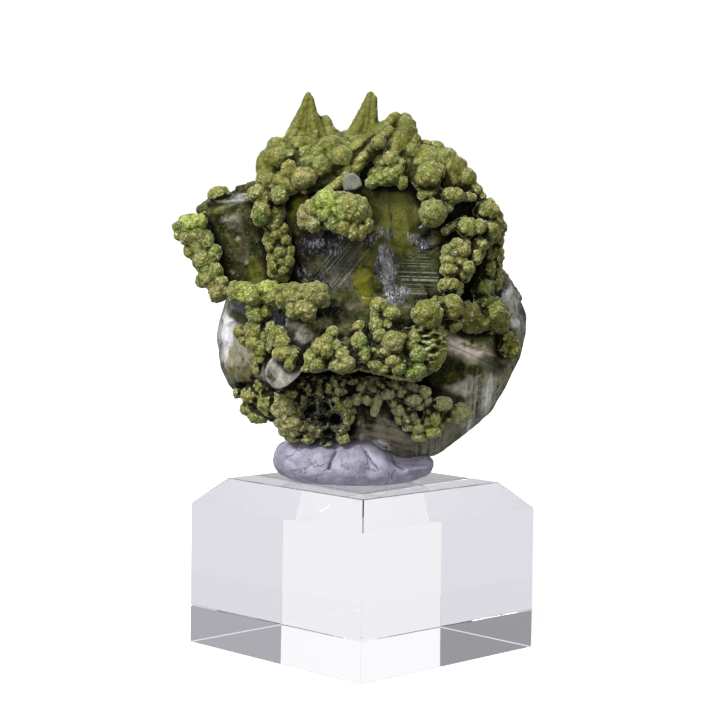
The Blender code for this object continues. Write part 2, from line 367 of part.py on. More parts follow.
def fused(bm, name, finish, triangles):
    """Joins overlapping lumps to one skin, thinned to a number of triangles."""
    made = add_object(name, bm, finish)
    skin = made.modifiers.new("Skin", "REMESH")
    skin.mode = "VOXEL"
    skin.voxel_size = VOXEL * MM
    settle(made)
    thin = made.modifiers.new("Thin", "DECIMATE")
    thin.ratio = min(1.0, triangles / len(made.data.polygons))
    settle(made)
    return made


def growth(name, finish, triangles, lumps, fingers=(), cutters=()):
    bm = bmesh.new()
    for row in lumps:
        add_lump(bm, row)
    for row in fingers:
        add_finger(bm, *row)
    made = fused(bm, name, finish, triangles)
    for cutter in cutters:
        boolean(made, cutter, "DIFFERENCE")
        settle(made)
    return made


def clearance_of(name, lumps, fingers=()):
    """A hidden cutter: the same lumps, larger by the gap."""
    bm = bmesh.new()
    for row in lumps:
        add_lump(bm, row, GAP + VOXEL / 2)
    for row in fingers:
        add_finger(bm, *row, grow=GAP + VOXEL / 2)
    cutter = fused(bm, name, bpy.data.materials["mottramite"], 1500)
    hide_cutter(cutter)
    return cutter


# The block

def make_block(finish):
    bm = bmesh.new()
    bmesh.ops.create_cube(bm, size=1.0)
    size = Matrix.Diagonal((BLOCK_SIDE * MM, BLOCK_SIDE * MM, BLOCK_HEIGHT * MM, 1.0))
    lift = Matrix.Translation((0, 0, BLOCK_HEIGHT * MM / 2))
    bm.transform(Matrix.Rotation(BLOCK_TURN, 4, "Z") @ lift @ size)
    rim = [e for e in bm.edges if all(v.co.z > BLOCK_HEIGHT * MM * 0.9 for v in e.verts)]
    bmesh.ops.bevel(
        bm, geom=rim, offset=BLOCK_CHAMFER * MM, offset_type="OFFSET", segments=1, profile=0.5,
        affect="EDGES", material=-1)
    return add_object("clear_block", bm, finish)


# The calcite

def calcite_hulls(grow):
    """The convex crystals that the calcite is joined from, larger by grow."""
    shapes = (
        ringed_points(LENS_MIDDLE, LENS_OUTLINE, LENS_RINGS),
        ringed_points(WING_MIDDLE, WING_OUTLINE, WING_RINGS),
        ringed_points(CORE_MIDDLE, CORE_OUTLINE, CORE_RINGS),
        [place(*corner) for corner in FOOT_CORNERS],
        ringed_points(CHIP_MIDDLE, CHIP_RIM, CHIP_RINGS))
    made = []
    for points in shapes:
        bm = bmesh.new()
        hull(bm, points)
        if grow:
            fatten(bm, grow)
        made.append(bm)
    return made


def make_calcite(name, finish, grow=0.0):
    crystals = calcite_hulls(grow)
    whole = add_object(name, crystals[0], finish)
    for index, crystal in enumerate(crystals[1:]):
        part = add_object(f"{name}_part_{index}", crystal, finish)
        boolean(whole, part, "UNION")
        settle(whole)
        bpy.data.objects.remove(part, do_unlink=True)
    return whole


def make_gem(name, finish, grow=0.0):
    bm = bmesh.new()
    hull(bm, ringed_points(GEM_MIDDLE, GEM_OUTLINE, GEM_RINGS))
    if grow:
        fatten(bm, grow)
    return add_object(name, bm, finish)


# The putty

def make_putty(finish, cutters):
    bm = bmesh.new()
    bmesh.ops.create_uvsphere(bm, u_segments=28, v_segments=10, radius=1.0)
    middle = Vector(PUTTY_MIDDLE)
    for v in bm.verts:
        flat = math.hypot(v.co.x, v.co.y)
        bulge = max(flat, 1e-6) ** 0.62 / max(flat, 1e-6)
        height = math.copysign(abs(v.co.z) ** 0.8, v.co.z)
        x = middle.x + v.co.x * bulge * PUTTY_HALF[0]
        fold = sum(
            math.exp(-((x - at + lean * (v.co.z + 1)) / FOLD_WIDTH) ** 2) for at, lean in PUTTY_FOLDS)
        y = middle.y + v.co.y * bulge * (PUTTY_HALF[1] - FOLD_DEPTH * fold)
        z = middle.z + height * PUTTY_HALF[2] - max(0.0, v.co.z) * (x - middle.x) * PUTTY_SAG_RIGHT
        v.co = Vector((x, y, z)) * MM
    floor = Vector((0, 0, BLOCK_HEIGHT + GAP)) * MM
    cut = bmesh.ops.bisect_plane(
        bm, geom=bm.verts[:] + bm.edges[:] + bm.faces[:], plane_co=floor, plane_no=(0, 0, 1), clear_inner=True)
    rim = [e for e in cut["geom_cut"] if isinstance(e, bmesh.types.BMEdge)]
    bmesh.ops.edgeloop_fill(bm, edges=rim)
    bmesh.ops.recalc_face_normals(bm, faces=bm.faces)
    putty = add_object("mounting_putty", bm, finish)
    for cutter in cutters:
        boolean(putty, cutter, "DIFFERENCE")
        settle(putty)
    return putty


# The mottramite

def vug_cutter(finish):
    bm = bmesh.new()
    for x, y, z, radius in VUG_PITS:
        add_lump(bm, (x, y, z, radius, radius, radius * PIT_DEPTH))
    cutter = fused(bm, "vug_cutter", finish, 500)
    hide_cutter(cutter)
    return cutter


def back_lumps(calcite):
    """Rows of lumps laid on the hidden back of the calcite."""
    bm = bmesh.new()
    bm.from_mesh(calcite.data)
    surface = BVHTree.FromBMesh(bm)
    rows = []
    for row, (z, left, right) in enumerate(BACK_ROWS):
        count = int((right - left) / BACK_STEP)
        for step in range(count + 1):
            x = left + (right - left) * step / count
            height = z + 0.9 * math.sin(step * 2.1 + row * 1.3)
            hit = surface.ray_cast(Vector((x, 60.0, height)) * MM, Vector((0, -1, 0)))[0]
            if hit is None:
                continue
            size = BACK_LUMP + 0.5 * math.sin(step * 1.7 + row * 2.9)
            y = hit.y / MM
            reach = (y - EYE.y) / (READ_Y - EYE.y)
            seen_x = EYE.x + (x - EYE.x) / reach
            seen_z = EYE.z + (height - EYE.z) / reach
            rows.append((seen_x, y, seen_z, size, size * 0.95, 2.3))
    bm.free()
    return tuple(rows)


def build():
    clear_scene()
    clear_plastic = material("clear_plastic", (0.93, 0.94, 0.97), 0.02, 1.0, 1.49)
    putty_grey = material("putty_grey", (0.44, 0.43, 0.51), 0.75)
    calcite_grey = material("calcite", (0.55, 0.56, 0.50), 0.12, 0.8, 1.6)
    olive = material("mottramite", (0.17, 0.18, 0.05), 0.55)

    make_block(clear_plastic)
    calcite = make_calcite("calcite_crystals", calcite_grey)
    around_calcite = make_calcite("calcite_clearance", calcite_grey, GAP)
    hide_cutter(around_calcite)
    make_gem("small_calcite_crystal", calcite_grey)
    around_gem = make_gem("small_crystal_clearance", calcite_grey, GAP)
    hide_cutter(around_gem)

    around_crown = clearance_of("crown_clearance", CROWN_BODY + CROWN_LUMPS, CROWN_FINGERS)
    growth(
        "crown_growth", olive, TRIANGLES["crown"], CROWN_BODY + CROWN_LUMPS, CROWN_FINGERS,
        (around_calcite, around_gem))
    growth(
        "left_arm_growth", olive, TRIANGLES["arm"], ARM_BODY + ARM_LUMPS, ARM_FINGERS,
        (around_calcite, around_crown))
    growth("left_lump", olive, TRIANGLES["perch"], PERCH_BODY, (), (around_calcite,))
    growth("centre_knob", olive, TRIANGLES["knob"], KNOB_BODY + KNOB_LUMPS, (), (around_calcite, around_crown))
    growth(
        "right_bank_growth", olive, TRIANGLES["bank"], BANK_BODY + BANK_LUMPS + LEDGE_BODY + LEDGE_LUMPS,
        BANK_FINGERS, (around_calcite, around_crown))
    growth(
        "lower_growth", olive, TRIANGLES["lower"], LOWER_BODY + LOWER_LUMPS, LOWER_FINGERS,
        (around_calcite, vug_cutter(olive)))
    growth("back_crust", olive, TRIANGLES["back"], back_lumps(calcite), (), (around_calcite, around_crown))
    around_lower = clearance_of("lower_clearance", LOWER_BODY + LOWER_LUMPS, LOWER_FINGERS)
    make_putty(putty_grey, (around_calcite, around_lower))


build()
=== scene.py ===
# The looks of a mottramite and calcite specimen, pressed with putty on a bevelled clear block.
# Metres, +Z up. The show face looks to -Y. Lists are in millimetres, and MM turns them into metres.
import math

import bmesh
import bpy
import numpy as np
from mathutils import Matrix, Vector
from mathutils.bvhtree import BVHTree
from mathutils.kdtree import KDTree


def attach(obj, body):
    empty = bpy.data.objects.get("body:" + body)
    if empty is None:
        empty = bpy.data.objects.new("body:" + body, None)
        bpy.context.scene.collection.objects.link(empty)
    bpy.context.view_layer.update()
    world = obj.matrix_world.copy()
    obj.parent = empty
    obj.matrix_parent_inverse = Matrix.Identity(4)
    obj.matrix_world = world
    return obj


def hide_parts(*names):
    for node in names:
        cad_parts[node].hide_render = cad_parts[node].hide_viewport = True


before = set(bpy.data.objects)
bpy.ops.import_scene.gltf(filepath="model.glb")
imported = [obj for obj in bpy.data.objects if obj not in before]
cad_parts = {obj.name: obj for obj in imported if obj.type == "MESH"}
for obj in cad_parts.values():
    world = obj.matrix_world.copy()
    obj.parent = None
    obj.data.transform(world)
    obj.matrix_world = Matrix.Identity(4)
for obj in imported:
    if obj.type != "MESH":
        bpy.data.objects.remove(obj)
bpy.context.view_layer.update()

MM = 0.001

# The block under the specimen
BLOCK_SIDE = 38.1
BLOCK_HEIGHT = 26.1
BLOCK_CHAMFER = 4.0
BLOCK_TURN = math.radians(45)
BLOCK_EDGE = 0.12

# Widths and heights are those seen from EYE in the upright plane READ_Y.
# place() slides each point along its line of sight to its real depth.
EYE = np.array((-0.8, -311.4, 69.0))
READ_Y = -6.0

# Putty: an oval roll squashed flat, with folds where it was pressed together
PUTTY_MIDDLE = (-1.7, -1.0, 29.3)
PUTTY_HALF = (12.6, 9.6, 3.6)
PUTTY_SAG_RIGHT = 0.06
PUTTY_FOLDS = ((-4.6, -0.35), (1.5, 0.5), (6.0, 0.9))
FOLD_DEPTH = 0.9
FOLD_WIDTH = 0.9

# Calcite: outlines (x, z) around a middle, and rings (y, share of the outline)
LENS_MIDDLE = (0.8, 48.0)
LENS_OUTLINE = (
    (14.0, 65.5), (20.4, 60.2), (23.0, 56.8), (24.2, 53.2), (24.4, 50.0), (23.7, 46.4), (21.6, 41.6),
    (19.6, 38.0), (15.6, 34.2), (11.6, 30.8), (7.0, 29.5), (0.0, 30.0), (-7.0, 31.2), (-11.6, 34.0),
    (-17.6, 38.6), (-20.8, 41.2), (-22.1, 44.0), (-22.8, 48.4), (-22.4, 50.8), (-20.6, 57.0), (-13.0, 64.0),
    (0.0, 68.0))
LENS_RINGS = ((-8.0, 0.50), (-5.4, 0.80), (-1.0, 0.95), (3.0, 1.0), (7.5, 0.94), (11.5, 0.74), (13.5, 0.45))

WING_MIDDLE = (-15.0, 60.0)
WING_OUTLINE = (
    (-26.0, 68.2), (-24.6, 69.7), (-20.4, 71.2), (-17.4, 72.2), (-9.0, 71.0), (-7.0, 60.0), (-8.0, 49.0),
    (-15.6, 49.6), (-21.0, 54.0), (-24.2, 60.0), (-25.4, 66.0))
WING_RINGS = ((-7.0, 0.84), (-4.0, 0.96), (0.0, 1.0), (5.0, 0.9), (7.5, 0.7))

CORE_MIDDLE = (1.0, 63.0)
CORE_OUTLINE = (
    (-16.8, 72.4), (-15.6, 75.6), (-12.0, 77.2), (-3.0, 78.2), (6.0, 77.6), (12.4, 75.4), (15.8, 73.0),
    (16.4, 70.8), (19.4, 64.0), (19.6, 58.0), (14.0, 51.0), (3.0, 47.0), (-9.0, 48.0), (-15.0, 58.0))
CORE_RINGS = ((-8.6, 0.80), (-5.5, 0.93), (0.0, 1.0), (6.0, 0.93), (10.0, 0.70))

# The front of the calcite leans forward to the ledge: corners (x, y, z)
FOOT_CORNERS = (
    (-10.0, -8.4, 58.5), (-2.0, -9.4, 59.5), (8.5, -8.6, 58.0), (-12.6, -12.4, 50.8), (-12.2, -14.0, 46.6),
    (-3.0, -14.6, 46.0), (8.0, -14.0, 46.4), (11.5, -12.4, 50.6), (-12.0, -8.0, 43.0), (10.0, -8.0, 43.0),
    (-10.0, 0.0, 42.0), (10.0, 0.0, 42.0), (-10.0, 0.0, 57.0), (10.0, 0.0, 57.0))

# A rounded chip of calcite below the left end of the ledge: rim (x, z), front and back
CHIP_MIDDLE = (-12.2, 44.2)
CHIP_RIM = (
    (-9.2, 46.6), (-9.2, 45.4), (-9.5, 44.2), (-10.1, 43.0), (-11.0, 42.0), (-12.0, 41.2), (-13.0, 40.8),
    (-13.9, 40.9), (-14.8, 41.7), (-15.3, 42.6), (-15.4, 43.5), (-14.9, 44.9), (-13.2, 46.8), (-11.2, 47.6))
CHIP_RINGS = ((-15.2, 0.93), (-14.8, 1.0), (-11.6, 0.97), (-7.0, 0.85))

# A small clear calcite crystal between the crown and the knob
GEM_MIDDLE = (-2.4, 72.6)
GEM_OUTLINE = (
    (-3.4, 73.7), (-2.2, 74.0), (-1.2, 73.2), (-0.8, 72.0), (-2.0, 71.3), (-3.6, 71.2), (-3.9, 72.4))
GEM_RINGS = ((-13.35, 0.86), (-13.1, 1.0), (-11.0, 0.9))
GEM_EDGE = 0.12

# Mottramite. A lump is x, y, z, half width, half height and, where it isn't their mean, half depth.
# A finger is its start, its start radius, its end and its end radius.
CROWN_BODY = (
    (-13.0, -3.5, 76.6, 2.6, 2.4, 4.2), (-9.4, -3.0, 78.6, 3.0, 2.2, 3.8),
    (-6.2, -3.0, 78.4, 2.6, 2.2, 3.6), (-2.4, -2.5, 78.4, 2.8, 2.0, 3.6), (1.4, -3.0, 79.2, 2.8, 2.4, 3.6),
    (5.0, -3.0, 78.4, 2.8, 2.8, 3.8), (9.0, -3.2, 77.0, 2.6, 1.9, 3.4), (12.0, -3.0, 75.4, 2.0, 1.9, 3.0),
    (-15.0, -7.6, 72.6, 2.0, 2.0, 2.6), (-12.0, -9.4, 72.4, 2.4, 1.9, 2.2),
    (-8.0, -9.4, 74.6, 2.8, 2.2, 2.2), (-4.6, -9.0, 76.2, 2.2, 2.0, 2.4), (-1.2, -6.6, 76.0, 2.6, 1.9, 2.2),
    (2.6, -6.8, 75.4, 2.6, 2.2, 2.2), (5.6, -7.4, 74.6, 2.2, 2.4, 2.2), (8.8, -8.8, 73.4, 2.2, 2.2, 2.2),
    (9.6, -9.2, 70.9, 2.0, 1.4, 2.0), (11.8, -8.8, 70.4, 2.0, 1.2, 2.0), (10.4, -6.4, 75.6, 1.8, 1.8, 2.6),
    (-15.2, -8.6, 69.8, 1.5, 1.6, 2.2), (-13.4, -6.8, 75.4, 2.9, 3.0, 2.4),
    (-9.6, -7.0, 76.4, 3.2, 2.8, 2.4), (-5.4, -7.0, 76.8, 3.2, 2.6, 2.4), (-0.6, -5.4, 77.2, 3.4, 2.6, 2.4),
    (4.4, -5.6, 76.0, 3.0, 3.4, 2.4), (8.4, -7.2, 75.2, 2.8, 3.0, 2.4), (11.8, -6.0, 74.6, 2.2, 2.2, 2.6),
    (-3.4, -8.8, 74.2, 2.2, 1.6, 1.8), (2.6, -9.0, 73.6, 2.6, 1.6, 2.0), (-14.6, -8.2, 67.6, 2.2, 2.6, 2.0),
    (-13.6, -8.4, 64.2, 2.3, 2.8, 2.0), (-13.2, -8.4, 60.4, 2.3, 3.4, 1.8))
CROWN_LUMPS = (
    (-13.7, -8.4, 75.9, 1.8, 1.8), (-13.9, -6.4, 77.9, 1.5, 1.4), (-12.0, -8.8, 76.3, 1.1, 1.0),
    (-15.2, -7.0, 74.2, 1.5, 1.6), (-12.0, -11.2, 74.3, 1.2, 1.4), (-9.6, -11.8, 73.1, 2.0, 1.6),
    (-10.5, -8.2, 78.2, 1.3, 1.2), (-9.6, -9.0, 77.0, 1.1, 1.1), (-6.0, -9.0, 78.0, 1.6, 1.3),
    (-7.7, -9.6, 76.8, 1.3, 1.2), (-4.9, -7.6, 78.6, 1.1, 1.0), (-7.2, -10.8, 74.8, 1.7, 1.8),
    (-8.5, -10.6, 75.4, 1.0, 1.1), (-5.8, -10.0, 75.9, 1.2, 1.0), (-13.4, -10.6, 70.4, 1.4, 1.4),
    (-16.8, -9.4, 70.6, 1.6, 1.4), (-16.1, -10.2, 67.6, 1.5, 2.0), (-14.2, -9.2, 66.0, 1.2, 1.2),
    (-13.8, -9.6, 64.4, 1.0, 0.9), (-12.3, -9.8, 63.6, 0.9, 0.9), (-13.2, -9.8, 61.8, 0.9, 0.9),
    (-11.9, -9.6, 60.4, 0.8, 1.0), (-14.2, -9.4, 59.6, 0.8, 0.9), (-12.6, -9.9, 65.2, 0.7, 0.7),
    (-14.8, -9.2, 62.6, 0.8, 0.9), (-12.6, -9.8, 58.8, 0.8, 0.7), (-11.6, -9.6, 62.0, 0.7, 0.8),
    (-13.0, -9.7, 60.4, 0.6, 0.6), (0.8, -10.6, 72.6, 1.2, 1.1), (2.1, -11.0, 73.0, 1.2, 1.2),
    (3.3, -11.2, 73.6, 1.4, 1.2), (4.5, -10.8, 74.3, 1.1, 1.0), (5.2, -10.8, 72.6, 1.0, 1.2),
    (3.4, -9.8, 75.9, 1.4, 1.5), (4.9, -9.8, 75.4, 0.9, 1.0), (6.6, -8.4, 77.4, 1.1, 1.4),
    (1.5, -9.6, 78.6, 1.2, 1.1), (9.1, -10.8, 73.8, 2.0, 1.9), (8.6, -9.4, 75.6, 1.7, 0.9),
    (10.7, -9.6, 74.5, 1.1, 1.2), (11.0, -6.0, 77.0, 1.3, 1.0), (8.6, -5.4, 78.3, 1.0, 0.8),
    (10.3, -5.2, 78.2, 1.3, 0.9), (9.9, -12.0, 68.1, 2.1, 2.2), (11.8, -10.6, 69.0, 1.4, 1.2),
    (13.0, -10.8, 70.7, 1.9, 1.3), (15.4, -8.8, 70.6, 1.2, 0.8), (-4.4, 0.6, 78.8, 1.6, 1.3),
    (0.6, 1.6, 79.2, 1.8, 1.4), (6.4, 0.8, 78.8, 1.7, 1.4), (-9.0, 1.0, 78.4, 1.8, 1.4))
CROWN_FINGERS = (
    ((-11.1, -4.6, 78.4), 2.1, (-9.2, -4.4, 85.6), 0.5), ((-8.0, -5.2, 78.6), 1.8, (-8.9, -4.7, 85.1), 0.5),
    ((-5.9, -4.4, 78.8), 1.7, (-6.6, -4.0, 81.8), 0.9), ((-7.4, -3.6, 80.0), 1.1, (-7.8, -3.6, 82.2), 0.6),
    ((-1.7, -3.2, 78.2), 2.5, (0.2, -2.8, 85.7), 0.65), ((0.6, -4.4, 78.6), 1.2, (0.7, -3.4, 85.2), 0.6),
    ((-4.7, -8.8, 75.9), 1.1, (0.3, -6.8, 79.4), 0.95), ((-0.2, -7.0, 78.4), 1.0, (4.0, -5.2, 82.5), 0.85),
    ((-1.9, -9.6, 74.7), 0.95, (3.0, -6.6, 80.2), 0.95), ((2.6, -9.4, 75.4), 1.4, (5.6, -6.0, 79.8), 1.8),
    ((5.6, -6.0, 79.8), 1.8, (5.5, -4.8, 82.1), 1.2), ((6.1, -8.6, 75.2), 0.9, (6.9, -6.6, 79.2), 1.1),
    ((6.7, -5.4, 79.2), 1.0, (6.5, -4.4, 81.4), 0.8), ((2.8, -3.6, 79.6), 1.6, (3.4, -3.4, 81.8), 0.9),
    ((-3.4, -9.6, 73.6), 0.7, (-0.6, -9.4, 76.6), 0.8),
    ((-7.8, -12.8, 69.4), 1.0, (-3.4, -11.0, 73.4), 0.8),
    ((-9.6, -10.6, 71.2), 0.7, (-5.6, -10.4, 72.8), 0.8))
# Smooth growth of the crown, without nodules
CROWN_SMOOTH = (
    (11.8, -5.4, 76.6, 1.8, 1.5, 2.4), (13.2, -5.4, 75.0, 2.0, 2.0, 2.6), (14.8, -5.6, 73.2, 1.8, 2.0, 2.6),
    (16.2, -5.8, 71.5, 1.4, 1.4, 2.0), (17.2, -5.8, 70.4, 1.0, 1.0, 1.6), (12.6, -6.8, 73.2, 1.4, 2.0, 1.8),
    (-15.7, -6.2, 74.8, 1.4, 2.4, 2.2), (-13.4, -9.4, 71.7, 2.4, 0.8, 1.0))

ARM_BODY = (
    (-26.6, -6.8, 65.6, 2.0, 1.7), (-25.4, -7.0, 63.2, 1.9, 1.8), (-24.8, -7.4, 60.4, 1.7, 1.9),
    (-24.0, -8.0, 57.8, 1.7, 1.8), (-22.4, -8.6, 55.6, 1.7, 1.6), (-19.6, -9.6, 55.4, 1.9, 1.4),
    (-16.8, -10.8, 55.2, 2.0, 1.6), (-13.8, -12.0, 55.0, 1.9, 1.5), (-10.6, -13.6, 54.6, 2.2, 1.8),
    (-16.6, -10.0, 52.4, 1.5, 1.8), (-16.8, -9.6, 49.6, 1.7, 1.9), (-15.6, -10.0, 47.0, 1.8, 1.8),
    (-13.4, -12.2, 48.4, 1.4, 1.9), (-24.0, -3.0, 66.6, 1.6, 1.6))
ARM_LUMPS = (
    (-28.9, -7.0, 65.3, 0.9, 0.8), (-27.6, -8.0, 66.1, 1.4, 1.1), (-25.8, -8.0, 66.2, 1.6, 1.3),
    (-28.5, -7.4, 64.1, 1.0, 0.9), (-27.4, -8.4, 63.6, 1.2, 1.1), (-26.0, -8.6, 64.2, 1.3, 1.2),
    (-26.9, -7.8, 61.7, 1.2, 1.1), (-25.8, -8.8, 62.4, 1.2, 1.1), (-24.6, -8.8, 63.0, 1.2, 1.2),
    (-25.2, -8.2, 60.0, 1.3, 1.1), (-23.2, -9.0, 61.4, 1.1, 1.3), (-25.0, -8.6, 57.2, 1.1, 1.1),
    (-24.3, -9.2, 58.6, 1.1, 1.1), (-23.0, -9.6, 58.8, 1.1, 1.2), (-23.4, -9.4, 56.9, 1.2, 1.1),
    (-22.2, -10.0, 57.0, 1.1, 1.0), (-22.9, -9.2, 54.8, 1.1, 1.1), (-21.4, -10.0, 55.6, 1.2, 1.1),
    (-20.1, -10.6, 56.4, 0.9, 0.8), (-18.6, -11.4, 56.2, 1.4, 1.0), (-18.9, -11.6, 54.8, 1.3, 0.9),
    (-17.4, -11.8, 54.6, 1.1, 0.9), (-15.0, -12.8, 56.2, 1.6, 1.3), (-14.0, -13.2, 54.9, 1.0, 1.0),
    (-17.4, -11.4, 53.5, 0.9, 0.9), (-16.6, -11.4, 52.2, 0.9, 0.9), (-15.2, -12.0, 52.8, 0.8, 1.2),
    (-12.6, -14.4, 54.5, 1.2, 1.3), (-11.6, -15.0, 55.2, 1.3, 1.2), (-12.5, -13.8, 56.1, 1.0, 0.9),
    (-10.9, -14.6, 56.4, 1.1, 0.8), (-7.7, -15.6, 55.4, 2.1, 1.9), (-9.3, -15.2, 56.2, 1.1, 0.9),
    (-6.6, -15.4, 54.1, 1.0, 0.9), (-9.3, -16.2, 53.0, 1.9, 1.6), (-11.1, -15.6, 52.9, 1.2, 1.5),
    (-19.2, -10.0, 49.4, 1.2, 1.0), (-18.5, -10.2, 48.2, 1.1, 1.0), (-17.1, -11.4, 47.7, 1.3, 1.2),
    (-17.0, -11.0, 50.2, 1.0, 1.2), (-15.2, -11.6, 48.9, 1.0, 1.0), (-14.5, -12.6, 50.0, 0.7, 1.2),
    (-14.2, -12.8, 47.2, 0.9, 1.0), (-15.8, -11.4, 45.6, 1.2, 0.8), (-16.5, -10.4, 43.6, 0.7, 0.9),
    (-13.0, -13.8, 49.4, 0.9, 1.0), (-12.7, -14.6, 47.8, 1.3, 1.4), (-12.6, -15.6, 46.2, 1.6, 1.2),
    (-11.1, -15.8, 46.0, 1.1, 1.0), (-11.5, -16.2, 44.6, 0.9, 1.1))
ARM_FINGERS = (((-16.2, -10.0, 46.6), 1.2, (-16.5, -10.2, 43.8), 0.7),)

PERCH_BODY = ((-22.6, -3.4, 70.2, 1.7, 1.6, 1.8), (-21.8, -3.8, 70.4, 1.0, 1.0))

KNOB_BODY = (
    (-4.4, -12.4, 67.6, 3.6, 2.4, 3.6), (-7.6, -12.8, 67.6, 2.0, 1.8, 2.4),
    (-4.2, -15.2, 67.2, 3.2, 2.1, 2.2), (-7.4, -14.4, 68.2, 1.9, 2.2, 2.0),
    (-1.8, -15.2, 66.4, 1.6, 1.5, 1.8))
KNOB_LUMPS = (
    (-9.4, -14.2, 67.2, 1.3, 1.9), (-8.1, -15.2, 66.2, 1.3, 1.3), (-8.2, -14.8, 68.6, 1.6, 1.5),
    (-6.3, -15.5, 69.6, 1.9, 1.8), (-6.2, -15.7, 67.8, 1.5, 1.5), (-3.0, -15.2, 68.2, 3.3, 2.6, 2.8),
    (-5.0, -16.2, 66.3, 1.1, 1.3), (-3.5, -16.7, 65.6, 1.1, 1.4), (-2.2, -16.8, 65.0, 0.9, 1.3),
    (-1.0, -16.3, 65.0, 0.9, 1.3), (0.0, -15.6, 66.2, 0.9, 1.3), (-0.4, -15.2, 67.8, 1.1, 1.5),
    (-4.4, -15.0, 70.1, 1.6, 1.0))

BANK_BODY = (
    (18.0, -4.6, 68.0, 2.2, 2.0), (16.8, -6.6, 65.4, 2.3, 2.0), (15.8, -8.4, 62.4, 2.2, 2.0),
    (14.4, -9.8, 59.4, 2.0, 2.0), (13.0, -11.4, 56.6, 1.8, 2.0), (11.8, -13.2, 53.6, 2.2, 2.0),
    (19.6, -2.6, 64.4, 1.4, 1.8), (19.6, -2.6, 60.8, 1.3, 1.9), (19.2, -4.0, 57.4, 1.6, 1.9),
    (18.2, -6.0, 54.2, 2.2, 2.0), (15.4, -8.8, 52.8, 2.2, 1.8), (17.6, -4.6, 61.6, 2.0, 2.4, 2.0),
    (17.4, -5.2, 57.4, 2.2, 3.0, 1.8), (16.4, -7.4, 64.0, 2.6, 2.6, 2.4), (18.4, -5.4, 66.0, 2.4, 3.0, 2.6),
    (19.6, -4.6, 52.4, 2.4, 3.0, 2.2), (16.6, -7.8, 51.4, 2.6, 1.6, 1.8), (21.8, -3.4, 48.2, 1.9, 1.9, 1.6),
    (19.4, -3.4, 60.0, 1.4, 5.0, 1.6), (13.6, -10.6, 60.8, 2.2, 3.0, 2.0))
BANK_LUMPS = (
    (18.2, -6.6, 68.5, 2.1, 1.9), (19.7, -5.6, 67.6, 1.2, 1.2), (15.2, -10.0, 65.8, 1.6, 1.7),
    (18.6, -8.2, 65.4, 1.5, 1.4), (17.3, -9.8, 63.4, 1.3, 1.1), (12.4, -11.2, 62.4, 1.0, 0.9),
    (13.9, -11.4, 63.3, 1.2, 1.1), (15.0, -10.6, 63.5, 0.9, 0.9), (13.7, -11.6, 61.9, 1.2, 0.9),
    (16.6, -10.8, 61.4, 1.1, 1.2), (15.4, -12.0, 59.9, 1.1, 1.1), (12.6, -12.0, 60.8, 1.2, 0.8),
    (12.6, -12.6, 59.3, 1.5, 1.1), (14.4, -12.0, 58.7, 0.8, 0.8), (12.5, -13.4, 57.2, 1.6, 1.1),
    (19.0, -6.8, 59.6, 0.8, 1.1), (20.5, -3.4, 66.0, 0.8, 1.0), (20.1, -3.8, 64.0, 0.8, 1.1),
    (20.3, -3.0, 61.2, 0.8, 0.9), (9.5, -16.2, 52.6, 2.4, 2.3), (13.1, -14.6, 53.9, 1.7, 1.9),
    (19.4, -6.8, 52.8, 2.1, 2.2), (13.4, -13.0, 50.9, 1.4, 1.0), (21.4, -4.2, 49.4, 1.2, 1.1),
    (20.6, -4.8, 50.8, 1.3, 1.2), (22.6, -3.6, 47.6, 1.3, 1.6), (17.0, -8.4, 51.2, 1.3, 1.0),
    (18.2, -6.8, 56.8, 1.5, 1.4), (17.0, -10.2, 65.9, 1.0, 1.2), (14.6, -11.6, 62.4, 1.3, 1.2))
BANK_FINGERS = (((14.8, -8.8, 67.2), 0.6, (12.0, -10.6, 65.4), 0.8),)

